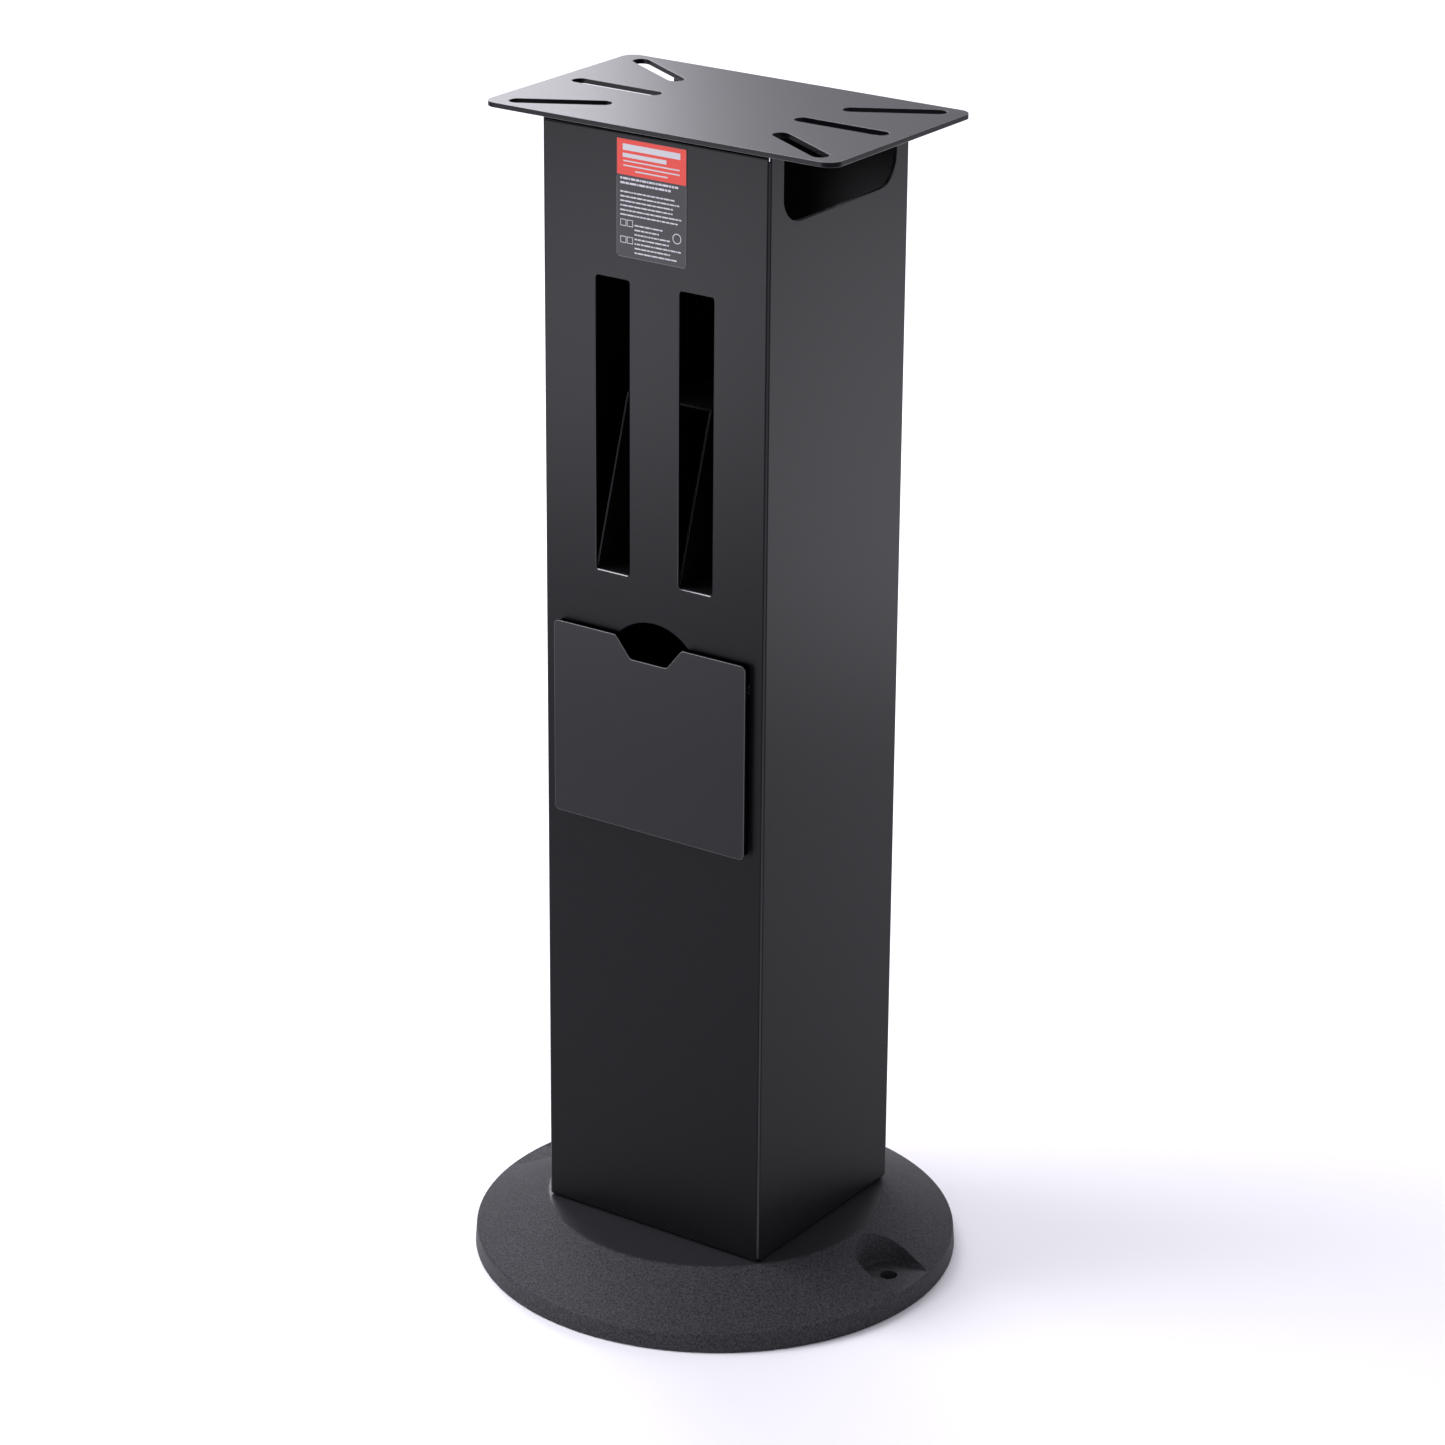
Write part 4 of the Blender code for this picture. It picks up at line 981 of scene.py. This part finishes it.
class STAND_OT_base_fasteners(bpy.types.Operator):
    """Model the bolts, washers and nuts that hold the column on the foot"""
    bl_idname = "stand.base_fasteners"
    bl_label = "Base Fasteners"

    def execute(self, context):
        for number in range(1, 5):
            node, washer_node = "base_bolt_%d" % number, "base_washer_%d" % number
            low, high = node_box(node)
            head_low = node_box(washer_node)[1].z + WASHER_GAP
            bolt, centre, flats, _, _ = hexagon("hexagon_bolt_%d" % number, node,
                                                head_low - low.z)
            chamfer_ring(bolt, centre, flats, head_low - 1 * MM, high.z)
            shank = add_rod("shank", M8_SHANK, (centre.x, centre.y, low.z),
                            head_low - low.z + 1 * MM, steps=32)
            cut(bolt, shank, "UNION")
            finish_fastener(bolt, 0.2 * MM, node)

            low, high = node_box(washer_node)
            washer = add_rod("washer_%d" % number, (high.x - low.x) / 2,
                             (centre.x, centre.y, low.z), high.z - low.z, steps=48)
            cut(washer, add_rod("hole", M8_HOLE, (centre.x, centre.y, low.z - 1 * MM), CLEAR,
                                steps=32))
            finish_fastener(washer, 0.2 * MM, washer_node)
            add_nut("hexagon_nut_%d" % number, "base_nut_%d" % number, M8_HOLE)
        return {"FINISHED"}


class STAND_OT_plate_fasteners(bpy.types.Operator):
    """Model the weld studs under the plate and their nuts"""
    bl_idname = "stand.plate_fasteners"
    bl_label = "Plate Fasteners"

    def execute(self, context):
        for number in range(1, 5):
            node = "plate_stud_%d" % number
            low, high = node_box(node)
            centre = (low + high) / 2
            stud = add_rod("weld_stud_%d" % number, (high.x - low.x) / 2,
                           (centre.x, centre.y, low.z), high.z - low.z, steps=32)
            finish_fastener(stud, 0.4 * MM, node)
            add_nut("stud_nut_%d" % number, "plate_nut_%d" % number, M6_HOLE)
        return {"FINISHED"}


class STAND_OT_cover_screws(bpy.types.Operator):
    """Model the cross-recessed screws of the rear cover"""
    bl_idname = "stand.cover_screws"
    bl_label = "Cover Screws"

    def execute(self, context):
        low, high = node_box("cover_screw_1")
        centre = (low + high) / 2
        radius, head = (high.x - low.x) / 2, 2.4 * MM
        under, land = high.y - head, 0.3 * MM
        profile = [(SCREW_TIP, low.y), (SCREW_SHANK, low.y + 0.5 * MM), (SCREW_SHANK, under),
                   (radius, under), (radius, under + land)]
        profile += [(radius * math.cos(math.radians(a)) * 0.999,
                     under + land + (head - land) * math.sin(math.radians(a)))
                    for a in (15, 30, 45, 60, 75)]
        profile += [(0.3 * MM, high.y)]
        screw = lathe("cover_screw", profile, 32)
        screw.rotation_euler = (-math.pi / 2, 0, 0)
        screw.location = (centre.x, 0, centre.z)
        only(screw)
        bpy.ops.object.transform_apply(location=True, rotation=True, scale=True)
        # the cross recess is two crossed slots
        recess, arm, half = 1.1 * MM, 2.4 * MM, 0.5 * MM
        for wide, tall in ((arm, half), (half, arm)):
            cut(screw, add_block(
                "recess", (centre.x - wide, high.y - recess, centre.z - tall),
                (centre.x + wide, high.y + 1 * MM, centre.z + tall)))
        soften(screw, 0.0, smooth=35.0)
        for number in range(1, 9):
            node = "cover_screw_%d" % number
            low, high = node_box(node)
            shift = (low + high) / 2 - centre
            piece = copied(screw, "pan_head_screw_%d" % number, shift)
            place_piece(piece, zinc_plate(), "zinc", "stand", node)
        bpy.data.objects.remove(screw, do_unlink=True)
        return {"FINISHED"}


# ---------------------------------------------------------------- the stage

def add_softbox(name, place, target, width, height, power):
    """An area light that looks at a point."""
    clear_selection()
    bpy.ops.object.light_add(type="AREA", location=place)
    lamp = bpy.context.active_object
    lamp.name = name
    lamp.data.shape = "RECTANGLE"
    lamp.data.size, lamp.data.size_y = width, height
    lamp.data.energy = power
    lamp.data.color = LAMP_TINT
    direction = Vector(target) - Vector(place)
    lamp.visible_camera = False
    lamp.rotation_euler = direction.to_track_quat("-Z", "Y").to_euler()


class STAND_OT_stage(bpy.types.Operator):
    """Set the pale floor, the soft studio light and the camera"""
    bl_idname = "stand.stage"
    bl_label = "Stage"

    def execute(self, context):
        stage = context.scene.stand_stage
        clear_selection()
        bpy.ops.mesh.primitive_plane_add(size=40.0, location=(0, 0, -0.4 * MM))
        floor = named("studio floor")
        floor.data.materials.append(plain("pale studio floor", stage.floor, 0.9, 0.1))

        world = bpy.data.worlds.new("studio")
        context.scene.world = world
        world.use_nodes = True
        background = world.node_tree.nodes["Background"]
        background.inputs["Color"].default_value = SKY
        background.inputs["Strength"].default_value = 0.5

        for lamp in SOFTBOXES:
            add_softbox(*lamp)

        azimuth, elevation, roll = stage.azimuth, stage.elevation, stage.roll
        back = Vector((math.sin(azimuth) * math.cos(elevation),
                       -math.cos(azimuth) * math.cos(elevation), math.sin(elevation)))
        target = Vector((0.0, COLUMN_MIDDLE.y, stage.look_height))
        right = Vector((0, 0, 1)).cross(back).normalized()
        up = back.cross(right)
        right, up = (right * math.cos(roll) + up * math.sin(roll),
                     up * math.cos(roll) - right * math.sin(roll))
        clear_selection()
        bpy.ops.object.camera_add(location=target + back * stage.distance)
        camera = context.active_object
        camera.name = "camera"
        turn = Matrix((right, up, back)).transposed()
        camera.rotation_euler = turn.to_euler()
        camera.data.lens = stage.lens
        camera.data.sensor_width = 36.0
        camera.data.clip_end = 100.0
        context.scene.camera = camera
        context.scene.view_settings.view_transform = "Standard"
        return {"FINISHED"}


# ---------------------------------------------------------------- panel and registration

PIECE_OPERATORS = (STAND_OT_cast_foot, STAND_OT_column, STAND_OT_rear_cover,
                   STAND_OT_top_plate, STAND_OT_wheel_rack, STAND_OT_drawer_front,
                   STAND_OT_drawer_box, STAND_OT_runners, STAND_OT_label,
                   STAND_OT_base_fasteners, STAND_OT_plate_fasteners, STAND_OT_cover_screws,
                   STAND_OT_stage)


class STAND_PT_panel(bpy.types.Panel):
    """Lists the stand's pieces and their sizes"""
    bl_idname = "STAND_PT_panel"
    bl_label = "Grinder Stand"
    bl_space_type = "VIEW_3D"
    bl_region_type = "UI"
    bl_category = "Grinder Stand"

    def draw(self, context):
        layout = self.layout
        for owner in SETTINGS:
            group = getattr(context.scene, owner)
            box = layout.box()
            box.label(text=owner.replace("_", " ").title())
            for name in group.__annotations__:
                box.prop(group, name)
        for piece in PIECE_OPERATORS:
            layout.operator(piece.bl_idname)


SETTINGS = {"stand_foot": FootSettings, "stand_column": ColumnSettings,
            "stand_drawer": DrawerSettings, "stand_label": LabelSettings,
            "stand_stage": StageSettings}
CLASSES = (*SETTINGS.values(), *PIECE_OPERATORS, STAND_PT_panel)


def register():
    """Register the classes and hang the settings on the scene."""
    for item in CLASSES:
        bpy.utils.register_class(item)
    for name, group in SETTINGS.items():
        setattr(bpy.types.Scene, name, PointerProperty(type=group))


def unregister():
    """Undo what register did."""
    for name in SETTINGS:
        delattr(bpy.types.Scene, name)
    for item in reversed(CLASSES):
        bpy.utils.unregister_class(item)


def main():
    """Build every piece, then the stage."""
    register()
    for piece in PIECE_OPERATORS:
        group, name = piece.bl_idname.split(".")
        getattr(getattr(bpy.ops, group), name)()


if __name__ == "__main__":
    main()
